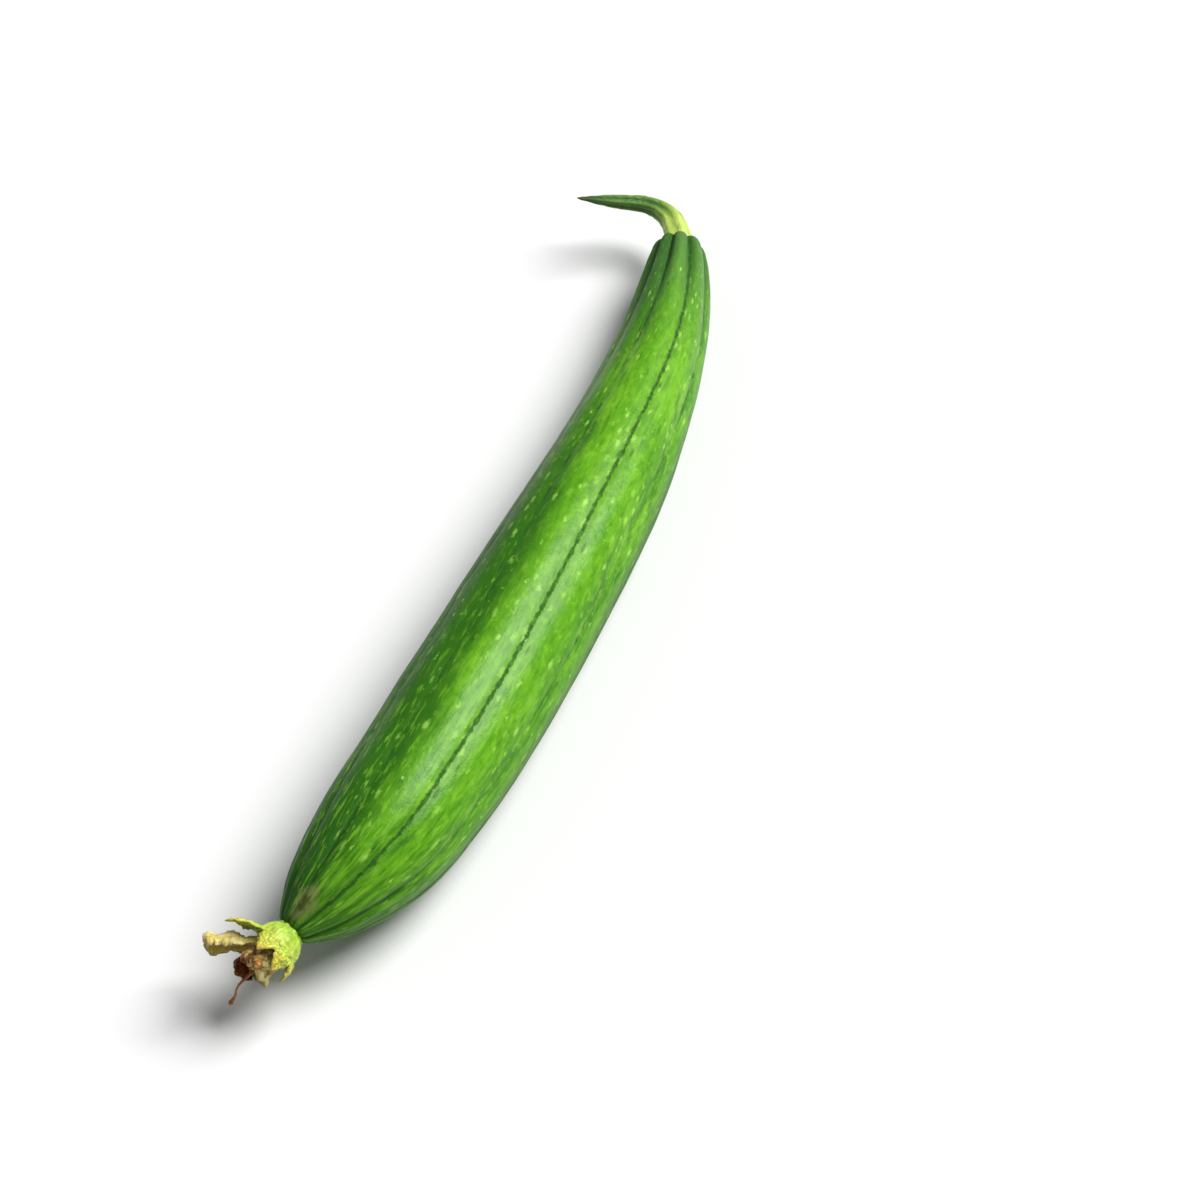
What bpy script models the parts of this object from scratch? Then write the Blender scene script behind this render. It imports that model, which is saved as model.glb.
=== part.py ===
"""Sponge gourd: a bowed, faintly ribbed fruit lying on a surface, with its cut stalk and withered flower.

Run it with blender --background --python part.py, or from Blender's text editor. Units are metres and +Z is up.
The origin is the middle of the flat spot that the fruit lies on. +X runs from the flower to the stalk.
"""

import math

import bmesh
import bpy
import numpy as np
from mathutils import Matrix, Vector, noise

MM = 0.001

# Fruit: X, Y and height of its middle line, and its radius, in millimetres, from the flower's end to the stalk's.
FRUIT_SECTIONS = (
    (-142.0, 18.8, 22.4, 4.7),
    (-138.5, 17.5, 22.8, 7.6),
    (-133.0, 15.6, 23.1, 11.6),
    (-122.0, 12.3, 23.2, 16.3),
    (-104.0, 8.1, 22.9, 20.8),
    (-80.0, 4.8, 22.8, 22.7),
    (-46.0, 2.1, 23.0, 23.5),
    (0.0, 0.3, 22.6, 23.0),
    (30.0, -0.4, 21.8, 22.2),
    (60.0, -0.2, 20.4, 20.7),
    (90.0, 1.4, 18.9, 18.7),
    (115.0, 4.0, 17.9, 16.7),
    (140.0, 8.2, 17.2, 14.2),
    (158.0, 12.5, 17.0, 12.0),
    (168.0, 15.4, 17.2, 10.2),
    (174.0, 17.4, 17.3, 8.4),
    (176.5, 18.2, 17.3, 6.7),
)
FRUIT_AROUND = 80
FRUIT_RINGS = 46

# Lines round the fruit, in degrees from its top towards -Y. The two widest ribs face up.
LINE_ANGLES = (22.0, 64.0, 98.2, 132.4, 166.6, 200.8, 235.2, 269.4, 303.8, 338.0)
# How far all the lines turn round the fruit at X, in degrees.
LINE_TWIST = (
    (-142.0, 17.0), (-110.0, 12.0), (-80.0, 8.5), (-40.0, 6.0), (0.0, 3.0), (40.0, -1.2), (80.0, -1.0), (120.0, 3.0), (176.5, 5.0),
)
# How much closer the mesh's meridians stand at a line than between two, from 0 to 1.
LINE_CROWDING = 0.45
FURROW_WIDTH = 1.3
FURROW_DEPTH = 0.40
FURROW_DEPTH_STALK = 0.95
FURROW_DEPTH_FLOWER = 0.75
BETWEEN_DEPTH_FLOWER = 0.60
RIB_SWELL = 0.22
STALK_RIBS_REACH = 34.0
FLOWER_RIBS_REACH = 26.0

# Stalk: distance along it from the fruit and radius, in millimetres.
STALK_RADII = (
    (0.0, 5.2), (1.5, 4.8), (6.0, 4.5), (12.0, 4.3), (17.0, 3.85), (22.0, 3.3), (28.0, 2.9), (35.0, 2.5), (42.0, 1.75), (50.0, 0.35),
)
# Course of the stalk: distance along it, its turn towards +Y in degrees, and its rise for each unit it runs.
STALK_COURSE = ((0.0, 0.0, 0.0), (1.5, 0.0, 0.0), (4.5, 18.0, 0.0), (10.6, 18.0, 0.0), (28.4, 99.0, 0.19), (50.0, 99.0, 0.19))
STALK_RIBS = 5
STALK_RIB_HEIGHT = 0.09
STALK_AROUND = 25
STALK_STEPS = 28

# Room between the fruit and what grows from its ends.
GAP = 0.3

# Calyx cup: distance along the flower's axis and radius, in millimetres, down its outside and then up its inside.
CUP_OUTSIDE = ((6.4, 7.3), (4.6, 7.1), (2.6, 6.5), (1.0, 5.5), (0.3, 4.7), (0.3, 0.0))
CUP_INSIDE = ((2.2, 0.0), (2.2, 4.4), (3.6, 5.6), (5.0, 6.0), (6.4, 6.3))
CUP_SIDES = 30
SEPAL_ROOT = (6.1, 4.9)
SEPAL_THICKNESS = 1.0
SEPAL_STEPS = (10, 6)
SEPAL_CRUMPLE = 0.5
# Half the width of a sepal along it, as a share of the greatest: lance-shaped, with a point.
SEPAL_OUTLINE = ((0.0, 0.92), (0.25, 1.0), (0.55, 0.74), (0.8, 0.38), (1.0, 0.08))
# Sepals: turn about the axis, length, half width, roll, angles from the axis at root, middle and tip, sideways sway.
SEPALS = (
    (58.0, 8.5, 4.3, 0.5, (34.0, 8.0, 4.0), 0.0),
    (112.0, 8.0, 4.3, 0.5, (46.0, 12.0, -6.0), 0.0),
    (192.0, 10.5, 4.2, 0.6, (26.0, 12.0, 6.0), -0.6),
    (303.0, 11.5, 4.4, 0.5, (68.0, 60.0, 26.0), 0.0),
    (4.0, 7.5, 4.2, 0.6, (34.0, 14.0, 0.0), 0.0),
)

# Withered corolla: the dried style with its stigma, five shrunken petals and one thin shred that ends in a knot.
CORE_PROFILE = ((11.0, 0.0), (10.8, 1.6), (9.6, 2.5), (8.0, 2.6), (6.0, 3.3), (4.4, 4.1), (2.5, 3.4), (2.5, 0.0))
CORE_SIDES = 20
STIGMA_RADIUS = 1.8
STIGMA_REACH = 2.0
STIGMA_HEIGHT = 10.8
PETAL_THICKNESS = 0.9
PETAL_STEPS = (12, 8)
PETAL_ROOT = (2.6, 5.2)
PETAL_CRUMPLE = 1.9
# Half the width of a petal along it, as a share of the greatest: narrow at the claw, broad and blunt beyond.
PETAL_OUTLINE = ((0.0, 0.55), (0.2, 0.7), (0.5, 0.9), (0.75, 1.1), (0.92, 1.0), (1.0, 0.65))
# Petals: the same six values as the sepals.
PETALS = (
    (278.0, 19.5, 6.2, 2.0, (54.0, 54.0, 46.0), 0.0),
    (8.0, 13.0, 5.2, 1.5, (40.0, 8.0, -50.0), -1.0),
    (76.0, 12.5, 4.8, 1.4, (36.0, 11.0, -44.0), 1.0),
    (150.0, 11.5, 5.0, 1.3, (40.0, 14.0, -10.0), 0.0),
    (228.0, 14.5, 5.4, 1.6, (40.0, 14.0, -24.0), 0.0),
)
# Shred: points in the flower's own frame and radii, in millimetres.
SHRED_POINTS = ((-2.0, 0.0, 12.0), (-3.2, -0.9, 17.0), (-4.8, -1.6, 20.5), (-7.4, -1.3, 22.8), (-9.8, -1.8, 24.8))
SHRED_RADII = (1.0, 0.75, 0.6, 0.65, 1.15)

SKIN_GREEN = (0.075, 0.23, 0.012, 1.0)
STALK_GREEN = (0.30, 0.42, 0.045, 1.0)
CALYX_LIME = (0.55, 0.60, 0.05, 1.0)
COROLLA_BROWN = (0.36, 0.17, 0.055, 1.0)


def clear_scene():
    for obj in list(bpy.data.objects):
        bpy.data.objects.remove(obj)


def material(name, colour, roughness):
    """A plain Principled finish."""
    made = bpy.data.materials.new(name)
    made.use_nodes = True
    shader = made.node_tree.nodes["Principled BSDF"]
    shader.inputs["Base Color"].default_value = colour
    shader.inputs["Roughness"].default_value = roughness
    shader.inputs["Metallic"].default_value = 0.0
    return made


def new_object(name, mesh, finish, collection):
    obj = bpy.data.objects.new(name, mesh)
    mesh.materials.clear()
    mesh.materials.append(finish)
    collection.objects.link(obj)
    return obj


def smooth_through(rows, where):
    """Every column of rows after the first, as a cubic through its values, read at where on the first column."""
    table = np.array(rows, float)
    knots, values = table[:, 0], table[:, 1:]
    slopes = np.gradient(values, knots, axis=0)
    where = np.clip(where, knots[0], knots[-1])
    low = np.clip(np.searchsorted(knots, where, side="right") - 1, 0, len(knots) - 2)
    span = knots[low + 1] - knots[low]
    t = (where - knots[low]) / span
    return (
        (2 * t**3 - 3 * t**2 + 1) * values[low]
        + (t**3 - 2 * t**2 + t) * span * slopes[low]
        + (3 * t**2 - 2 * t**3) * values[low + 1]
        + (t**3 - t**2) * span * slopes[low + 1]
    )


def fruit_middle(x):
    """Middle line of the fruit at x: its point and unit direction towards the stalk, and the radius, in millimetres."""
    step = 0.5
    y, height, radius = smooth_through(FRUIT_SECTIONS, x).tolist()
    first, last = FRUIT_SECTIONS[0][0], FRUIT_SECTIONS[-1][0]
    before, after = max(x - step, first), min(x + step, last)
    y0, z0, _ = smooth_through(FRUIT_SECTIONS, before).tolist()
    y1, z1, _ = smooth_through(FRUIT_SECTIONS, after).tolist()
    return Vector((x, y, height)), Vector((after - before, y1 - y0, z1 - z0)).normalized(), radius


def fading(distance, reach):
    """1 at an end of the fruit, falling smoothly to 0 further in."""
    return math.exp(-((distance / reach) ** 2))


def skin_radius(x, lobe, radius):
    """Distance of the skin from the middle line. Lobe counts the lines round the fruit, whole numbers being lines."""
    from_flower = x - FRUIT_SECTIONS[0][0]
    from_stalk = FRUIT_SECTIONS[-1][0] - x
    flower, stalk = fading(from_flower, FLOWER_RIBS_REACH), fading(from_stalk, STALK_RIBS_REACH)
    lobe_width = 2 * math.pi * radius / len(LINE_ANGLES)
    to_line = abs(lobe - round(lobe)) * lobe_width
    to_middle = abs(lobe - math.floor(lobe) - 0.5) * lobe_width
    width = min(FURROW_WIDTH, 0.16 * lobe_width)
    size = min(1.0, radius / 12.0)
    line_depth = FURROW_DEPTH + FURROW_DEPTH_STALK * stalk + FURROW_DEPTH_FLOWER * flower
    furrow = line_depth * math.exp(-((to_line / width) ** 2))
    between = BETWEEN_DEPTH_FLOWER * flower * math.exp(-((to_middle / width) ** 2))
    swell = RIB_SWELL * (1 + 1.5 * stalk) * math.cos(2 * math.pi * lobe)
    return radius - size * (furrow + between + swell)


def fruit(finish, collection):
    """The fruit: a sphere whose rings become the sections and whose meridians follow the ribs, flattened where it lies."""
    first, last = FRUIT_SECTIONS[0][0], FRUIT_SECTIONS[-1][0]
    lobes = len(LINE_ANGLES)
    angles = [*LINE_ANGLES, LINE_ANGLES[0] + 360.0]
    shape = bmesh.new()
    bmesh.ops.create_uvsphere(shape, u_segments=FRUIT_AROUND, v_segments=FRUIT_RINGS, radius=1.0)
    for vert in shape.verts:
        x = first + (last - first) * (1 + vert.co.z) / 2
        middle, ahead, radius = fruit_middle(x)
        side = ahead.cross(Vector((0, 0, 1))).normalized()
        up = side.cross(ahead)
        lobe = (math.atan2(vert.co.y, vert.co.x) / (2 * math.pi) % 1.0) * lobes
        lobe = max(lobe - LINE_CROWDING * math.sin(2 * math.pi * lobe) / (2 * math.pi), 0.0)
        twist = float(smooth_through(LINE_TWIST, x)[0])
        angle = math.radians(np.interp(lobe, range(lobes + 1), angles) + twist)
        at_pole = abs(vert.co.z) > 1 - 1e-6
        reach = 0.0 if at_pole else skin_radius(x, lobe, radius)
        place = middle + reach * (math.cos(angle) * up + math.sin(angle) * side)
        place.z = max(place.z, 0.0)
        vert.co = place * MM
    bmesh.ops.recalc_face_normals(shape, faces=shape.faces)
    mesh = bpy.data.meshes.new("fruit")
    shape.to_mesh(mesh)
    shape.free()
    mesh.shade_smooth()
    return new_object("fruit", mesh, finish, collection)


def stalk_route():
    """Points along the stalk in metres, radii in millimetres: straight out of the fruit, then on along its course."""
    middle, ahead, _ = fruit_middle(FRUIT_SECTIONS[-1][0])
    heading = math.atan2(ahead.y, ahead.x)
    distances, turns, rises = zip(*STALK_COURSE)
    point = middle + ahead * GAP
    step = distances[-1] / STALK_STEPS
    points, radii = [], []
    for k in range(STALK_STEPS + 1):
        points.append(point * MM)
        radii.append(float(smooth_through(STALK_RADII, k * step)[0]))
        direction = heading + math.radians(np.interp((k + 0.5) * step, distances, turns))
        rise = np.interp((k + 0.5) * step, distances, rises)
        point = point + Vector((math.cos(direction), math.sin(direction), rise)) * step
    return points, radii


def poly_curve(name, points, radii, collection):
    """A curve through points, whose radii scale its bevel."""
    curve = bpy.data.curves.new(name, "CURVE")
    curve.dimensions = "3D"
    spline = curve.splines.new("POLY")
    spline.points.add(len(points) - 1)
    for place, point, radius in zip(spline.points, points, radii):
        place.co = (*point, 1.0)
        place.radius = radius
    curve.use_fill_caps = True
    obj = bpy.data.objects.new(name, curve)
    collection.objects.link(obj)
    return obj


def stalk(finish, collection, guides):
    """The stalk: a five-ribbed section swept along its bend, swollen where it joins the fruit and tapered to its tip."""
    rib = bpy.data.curves.new("stalk_section", "CURVE")
    rib.dimensions = "2D"
    outline = rib.splines.new("POLY")
    outline.points.add(STALK_AROUND - 1)
    outline.use_cyclic_u = True
    for k, place in enumerate(outline.points):
        angle = 2 * math.pi * k / STALK_AROUND
        radius = (1 + STALK_RIB_HEIGHT * math.cos(STALK_RIBS * angle)) * MM
        place.co = (radius * math.cos(angle), -radius * math.sin(angle), 0, 1)
    section = bpy.data.objects.new("stalk_section", rib)
    section.hide_render = True
    section.display_type = "WIRE"
    guides.objects.link(section)
    points, radii = stalk_route()
    obj = poly_curve("stalk", points, radii, collection)
    obj.data.bevel_mode = "OBJECT"
    obj.data.bevel_object = section
    obj.data.materials.append(finish)
    return obj


def turned(name, profile, sides, collection):
    """A closed turned shape about Z. The profile is (height, radius) in millimetres, down its outer side."""
    mesh = bpy.data.meshes.new(name)
    points = [(radius * MM, 0, height * MM) for height, radius in profile]
    mesh.from_pydata(points, [(k, k + 1) for k in range(len(points) - 1)], [])
    obj = bpy.data.objects.new(name, mesh)
    collection.objects.link(obj)
    screw = obj.modifiers.new("turn", "SCREW")
    screw.steps = screw.render_steps = sides
    screw.use_merge_vertices = True
    screw.merge_threshold = 1e-6
    return obj


def blade(name, values, outline, root, steps, thickness, crumple, seed, collection):
    """A leaf-like blade: its spine leans away from Z, its width follows the outline and rolls up across it.

    Values are its turn about Z, length, half width, roll at its edges, angles from Z and sideways sway of its tip.
    """
    turn, length, half_width, roll, tilts, sway = values
    along_steps, across_steps = steps
    shape = bmesh.new()
    bmesh.ops.create_grid(shape, x_segments=along_steps, y_segments=across_steps, size=1.0)
    spine = [Vector((root[0], 0, root[1]))]
    lean = []
    for k in range(along_steps + 1):
        t = k / along_steps
        lean.append(math.radians(np.interp(t, (0, 0.5, 1), tilts)))
        spine.append(spine[-1] + Vector((math.sin(lean[-1]), 0, math.cos(lean[-1]))) * length / along_steps)
    for vert in shape.verts:
        t, v = (vert.co.x + 1) / 2, vert.co.y
        k = round(t * along_steps)
        outwards = Vector((math.cos(lean[k]), 0, -math.sin(lean[k])))
        width = half_width * float(smooth_through(outline, t)[0])
        across = width * math.sin(roll * v) / roll
        cup = -width * (1 - math.cos(roll * v)) / roll
        spot = Vector((t * length / 4.5, v * width / 3.2, seed * 7.7))
        wave = noise.noise(spot) * crumple * min(1.0, 3 * t)
        ruffle = noise.noise(spot + Vector((0, 0, 3.3))) * crumple * 0.6 * t
        place = spine[k] + outwards * (cup + wave) + Vector((0, across + ruffle + sway * t * t, 0))
        vert.co = place * MM
    bmesh.ops.triangulate(shape, faces=shape.faces, quad_method="FIXED")
    mesh = bpy.data.meshes.new(name)
    shape.to_mesh(mesh)
    shape.free()
    obj = bpy.data.objects.new(name, mesh)
    obj.rotation_euler.z = math.radians(turn)
    collection.objects.link(obj)
    wall = obj.modifiers.new("wall", "SOLIDIFY")
    wall.thickness = thickness * MM
    wall.offset = 0.0
    return obj


def as_mesh(obj):
    """Replaces an object by its evaluated mesh, welded, in a new object at the same place."""
    evaluated = obj.evaluated_get(bpy.context.evaluated_depsgraph_get())
    mesh = bpy.data.meshes.new_from_object(evaluated)
    shape = bmesh.new()
    shape.from_mesh(mesh)
    bmesh.ops.remove_doubles(shape, verts=shape.verts, dist=1e-6)
    bmesh.ops.recalc_face_normals(shape, faces=shape.faces)
    shape.to_mesh(mesh)
    shape.free()
    made = bpy.data.objects.new(obj.name + "_solid", mesh)
    made.matrix_world = obj.matrix_world.copy()
    for home in obj.users_collection:
        home.objects.link(made)
    bpy.data.objects.remove(obj)
    return made


def outer_skin(mesh):
    """Keeps only the largest closed surface of a mesh, which fills any hollow sealed inside it and drops loose scraps."""
    shape = bmesh.new()
    shape.from_mesh(mesh)
    unseen = set(shape.verts)
    islands = []
    while unseen:
        island, edge_of_it = set(), [unseen.pop()]
        while edge_of_it:
            vert = edge_of_it.pop()
            island.add(vert)
            for edge in vert.link_edges:
                neighbour = edge.other_vert(vert)
                if neighbour in unseen:
                    unseen.discard(neighbour)
                    edge_of_it.append(neighbour)
        islands.append(island)
    islands.sort(key=len)
    inner = [vert for island in islands[:-1] for vert in island]
    bmesh.ops.delete(shape, geom=inner, context="VERTS")
    shape.to_mesh(mesh)
    shape.free()


def fused(name, pieces, finish, collection):
    """One object from overlapping pieces, by a single Boolean union on their collection."""
    body, *others = [as_mesh(piece) for piece in pieces]
    joining = bpy.data.collections.new(name + "_joining")
    for piece in others:
        joining.objects.link(piece)
    union = body.modifiers.new("union", "BOOLEAN")
    union.operation = "UNION"
    union.solver = "MANIFOLD"
    union.operand_type = "COLLECTION"
    union.collection = joining
    bpy.context.view_layer.update()
    evaluated = body.evaluated_get(bpy.context.evaluated_depsgraph_get())
    mesh = bpy.data.meshes.new_from_object(evaluated)
    for piece in [body, *others]:
        bpy.data.objects.remove(piece)
    bpy.data.collections.remove(joining)
    outer_skin(mesh)
    mesh.name = name
    return new_object(name, mesh, finish, collection)


def calyx(finish, collection, making):
    """The calyx: a shallow cup on the fruit's end, and five sepals grown out of its rim."""
    pieces = [turned("cup", (*CUP_OUTSIDE, *CUP_INSIDE, CUP_OUTSIDE[0]), CUP_SIDES, making)]
    for k, values in enumerate(SEPALS):
        settings = (SEPAL_OUTLINE, SEPAL_ROOT, SEPAL_STEPS, SEPAL_THICKNESS, SEPAL_CRUMPLE, k)
        pieces.append(blade(f"sepal_{k}", values, *settings, making))
    bpy.context.view_layer.update()
    return fused("calyx", pieces, finish, collection)


def corolla(finish, collection, making):
    """The withered corolla: the dried core with three stigma lobes, five crumpled petals and one thin shred."""
    pieces = [turned("core", CORE_PROFILE, CORE_SIDES, making)]
    for k in range(3):
        angle = 2 * math.pi * k / 3
        place = Vector((math.cos(angle) * STIGMA_REACH, math.sin(angle) * STIGMA_REACH, STIGMA_HEIGHT)) * MM
        bpy.ops.mesh.primitive_ico_sphere_add(subdivisions=2, radius=STIGMA_RADIUS * MM, location=place)
        lobe = bpy.context.object
        bpy.context.collection.objects.unlink(lobe)
        making.objects.link(lobe)
        pieces.append(lobe)
    for k, values in enumerate(PETALS):
        settings = (PETAL_OUTLINE, PETAL_ROOT, PETAL_STEPS, PETAL_THICKNESS, PETAL_CRUMPLE, 10 + k)
        pieces.append(blade(f"petal_{k}", values, *settings, making))
    shred = poly_curve("shred", [Vector(point) * MM for point in SHRED_POINTS], SHRED_RADII, making)
    shred.data.bevel_depth = MM
    shred.data.bevel_resolution = 1
    pieces.append(shred)
    bpy.context.view_layer.update()
    return fused("corolla", pieces, finish, collection)


def flower_place():
    """Where the flower's own frame stands: its origin on the fruit's end and its Z along the flower's axis."""
    middle, ahead, _ = fruit_middle(FRUIT_SECTIONS[0][0])
    axis = -ahead
    across = Vector((0, 0, 1)).cross(axis).normalized()
    upwards = axis.cross(across)
    turn = Matrix((upwards, across, axis)).transposed().to_4x4()
    return Matrix.Translation(middle * MM) @ turn


def main():
    clear_scene()
    gourd = bpy.data.collections.new("sponge_gourd")
    guides = bpy.data.collections.new("guides")
    making = bpy.data.collections.new("making")
    for collection in (gourd, guides, making):
        bpy.context.scene.collection.children.link(collection)
    fruit(material("skin", SKIN_GREEN, 0.42), gourd)
    stalk(material("stalk", STALK_GREEN, 0.6), gourd, guides)
    flower = bpy.data.objects.new("flower", None)
    flower.matrix_world = flower_place()
    gourd.objects.link(flower)
    for part in (
        calyx(material("calyx", CALYX_LIME, 0.6), gourd, making),
        corolla(material("corolla", COROLLA_BROWN, 0.8), gourd, making),
    ):
        part.parent = flower
    bpy.data.collections.remove(making)


main()
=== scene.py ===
"""Looks of a sponge gourd lying on a pale floor: its ribbed, flecked skin, bent stalk and withered flower."""

import math
from typing import NamedTuple

import bmesh
import bpy
import numpy as np
from bpy.props import FloatProperty, FloatVectorProperty, IntProperty, PointerProperty
from mathutils import Matrix, Vector, noise


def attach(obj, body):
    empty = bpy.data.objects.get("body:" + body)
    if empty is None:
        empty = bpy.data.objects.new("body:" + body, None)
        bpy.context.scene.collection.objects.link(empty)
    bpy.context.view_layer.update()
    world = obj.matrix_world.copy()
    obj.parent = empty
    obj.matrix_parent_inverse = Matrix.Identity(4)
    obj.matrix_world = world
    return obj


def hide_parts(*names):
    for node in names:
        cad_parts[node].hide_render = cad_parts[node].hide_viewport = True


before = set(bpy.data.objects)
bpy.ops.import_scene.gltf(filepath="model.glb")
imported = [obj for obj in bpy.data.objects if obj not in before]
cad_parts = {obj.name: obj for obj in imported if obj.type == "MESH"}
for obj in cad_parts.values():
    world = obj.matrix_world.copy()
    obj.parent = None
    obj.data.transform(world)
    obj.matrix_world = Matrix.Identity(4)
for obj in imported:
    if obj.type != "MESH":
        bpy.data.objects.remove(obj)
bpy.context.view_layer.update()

bl_info = {
    "name": "Sponge Gourd",
    "version": (1, 0, 0),
    "blender": (4, 5, 0),
    "location": "3D View > Sidebar > Gourd",
    "description": "Makes a sponge gourd with its skin, stalk and withered flower, and the stage it lies on",
    "category": "Add Mesh",
}

MM = 0.001

# Rows of the fruit from its flower end to its stalk end: X, Y, height of its middle line, radius (mm).
FRUIT_SECTIONS = (
    (-142.0, 18.8, 22.4, 4.7),
    (-138.5, 17.5, 22.8, 7.6),
    (-133.0, 15.6, 23.1, 11.6),
    (-122.0, 12.3, 23.2, 16.3),
    (-104.0, 8.1, 22.9, 20.8),
    (-80.0, 4.8, 22.8, 22.7),
    (-46.0, 2.1, 23.0, 23.5),
    (0.0, 0.3, 22.6, 23.0),
    (30.0, -0.4, 21.8, 22.2),
    (60.0, -0.2, 20.4, 20.7),
    (90.0, 1.4, 18.9, 18.7),
    (115.0, 4.0, 17.9, 16.7),
    (140.0, 8.2, 17.2, 14.2),
    (158.0, 12.5, 17.0, 12.0),
    (168.0, 15.4, 17.2, 10.2),
    (174.0, 17.4, 17.3, 8.4),
    (176.5, 18.2, 17.3, 6.7),
)
FIRST_X = FRUIT_SECTIONS[0][0]
FRUIT_LENGTH = FRUIT_SECTIONS[-1][0] - FIRST_X
# Angles of the dark lines round the fruit from its top towards -Y, and how they twist along it (degrees).
LINE_ANGLES = (22.0, 64.0, 98.2, 132.4, 166.6, 200.8, 235.2, 269.4, 303.8, 338.0)
LINE_TWIST = (
    (-142.0, 17.0),
    (-110.0, 12.0),
    (-80.0, 8.5),
    (-40.0, 6.0),
    (0.0, 3.0),
    (40.0, -1.2),
    (80.0, -1.0),
    (120.0, 3.0),
    (176.5, 5.0),
)
LOBES = len(LINE_ANGLES)
# The skin's patterns are laid out on a straight cylinder of this radius (mm).
GROWTH_RADIUS = 23.4
# How far to both sides of a spot the middle line's slope is taken, and how far in the ends are rounded (mm).
SLOPE_STEP = 0.5
END_ROUNDING = 1.6
FRUIT_RINGS = 320
COLUMNS_A_LOBE = 24
# The settings that shape the ribs, all lengths.
RIB_SIZES = (
    "furrow_width",
    "furrow_depth",
    "stalk_depth",
    "flower_depth",
    "between_depth",
    "rib_swell",
    "lump_depth",
    "lump_size",
)
# How much closer together the rings stand at the fruit's ends, and the columns along its lines.
RING_CROWDING = 0.28
COLUMN_CROWDING = 0.45
# How far from the ends their deeper furrows reach, and their other greens (mm).
FLOWER_FURROWS = 26.0
STALK_FURROWS = 34.0
FLOWER_GREEN = 30.0
STALK_GREEN = 38.0
# The radius (mm) from which the ribs and the marks have their full size. They shrink with a thinner fruit.
RIBS_FULL = 12.0
MARKS_FULL = 14.0
# The scab: its middle and reach along the fruit (mm), and round it, counted in lines.
SCAB_ALONG = (6.0, 5.5)
SCAB_ROUND = (-0.75, 0.55)

# The stalk: distance along it and its radius there (mm).
STALK_RADII = (
    (0.0, 5.2),
    (1.5, 4.8),
    (6.0, 4.5),
    (12.0, 4.3),
    (17.0, 3.85),
    (22.0, 3.3),
    (28.0, 2.9),
    (35.0, 2.5),
    (42.0, 1.75),
    (50.0, 0.35),
)
# Its course: distance along it (mm), turn towards +Y in degrees, and rise for its run.
STALK_COURSE = (
    (0.0, 0.0, 0.0),
    (1.5, 0.0, 0.0),
    (4.5, 18.0, 0.0),
    (10.6, 18.0, 0.0),
    (28.4, 99.0, 0.19),
    (50.0, 99.0, 0.19),
)
STALK_LENGTH = STALK_COURSE[-1][0]
STALK_STEPS = 140
# The course starts a gap off the fruit's end. From there a sunk part with two radii reaches back inside (mm).
STALK_GAP = 0.3
STALK_SUNK = 1.4
SUNK_RADII = (4.6, 5.0)

# The flower, in a frame of its own with Z along its axis. A profile holds heights and radii (mm), from the
# axis and back to it: up the cup's inside and down its outside, and down the core.
CUP_PROFILE = (
    (2.2, 0.0),
    (2.2, 4.4),
    (3.6, 5.6),
    (5.0, 6.0),
    (6.0, 6.5),
    (6.4, 7.3),
    (5.6, 7.3),
    (4.6, 7.1),
    (2.6, 6.5),
    (1.0, 5.5),
    (0.3, 4.7),
    (-0.6, 4.3),
    (-1.2, 3.4),
    (-1.2, 0.0),
)
CORE_PROFILE = (
    (11.0, 0.0),
    (10.8, 1.6),
    (9.6, 2.5),
    (8.0, 2.6),
    (6.0, 3.3),
    (4.4, 4.1),
    (2.5, 3.4),
    (2.5, 0.0),
)
# Both have this many steps between two points, and bumps of this height (mm).
PROFILE_STEPS = 4
PROFILE_UNEVEN = 0.3
# The stigma: its lobes, their radius and bumps, and how far out and how high they stand (mm).
STIGMA_LOBES = 3
STIGMA_RADIUS = 1.7
STIGMA_UNEVEN = 0.35
STIGMA_REACH = 2.0
STIGMA_HEIGHT = 10.8


class BladeForm(NamedTuple):
    """What all sepals share, or all petals.

    The root's distance from the axis and its height (mm), the outline as shares of the length and of the half
    width, the grid's steps along and across, the heights of its crumple and fine creases (mm), how frayed its
    edges are, and its midrib's height (mm).
    """

    root: tuple
    outline: tuple
    steps: tuple
    crumple: float
    fine: float
    fray: float
    midrib: float


class Blade(NamedTuple):
    """One sepal or petal: its turn about Z (degrees), its sizes (mm) and the roll at its edges (radians).

    It leans off Z at its root, middle and tip (degrees), and its tip sways to one side (mm).
    """

    turn: float
    length: float
    half_width: float
    roll: float
    leans: tuple
    sway: float


SEPAL_FORM = BladeForm(
    root=(6.1, 4.9),
    outline=((0.0, 0.92), (0.25, 1.0), (0.55, 0.74), (0.8, 0.38), (1.0, 0.08)),
    steps=(44, 28),
    crumple=0.5,
    fine=0.3,
    fray=0.22,
    midrib=0.35,
)
PETAL_FORM = BladeForm(
    root=(2.6, 5.2),
    outline=((0.0, 0.55), (0.2, 0.7), (0.5, 0.9), (0.75, 1.1), (0.92, 1.0), (1.0, 0.65)),
    steps=(64, 40),
    crumple=1.9,
    fine=0.55,
    fray=0.22,
    midrib=0.25,
)
SEPALS = (
    Blade(58.0, 8.5, 4.3, 0.5, (34.0, 8.0, 4.0), 0.0),
    Blade(112.0, 8.0, 4.3, 0.5, (46.0, 12.0, -6.0), 0.0),
    Blade(192.0, 10.5, 4.2, 0.6, (26.0, 12.0, 6.0), -0.6),
    Blade(303.0, 11.5, 4.4, 0.5, (68.0, 60.0, 26.0), 0.0),
    Blade(4.0, 7.5, 4.2, 0.6, (34.0, 14.0, 0.0), 0.0),
)
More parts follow.
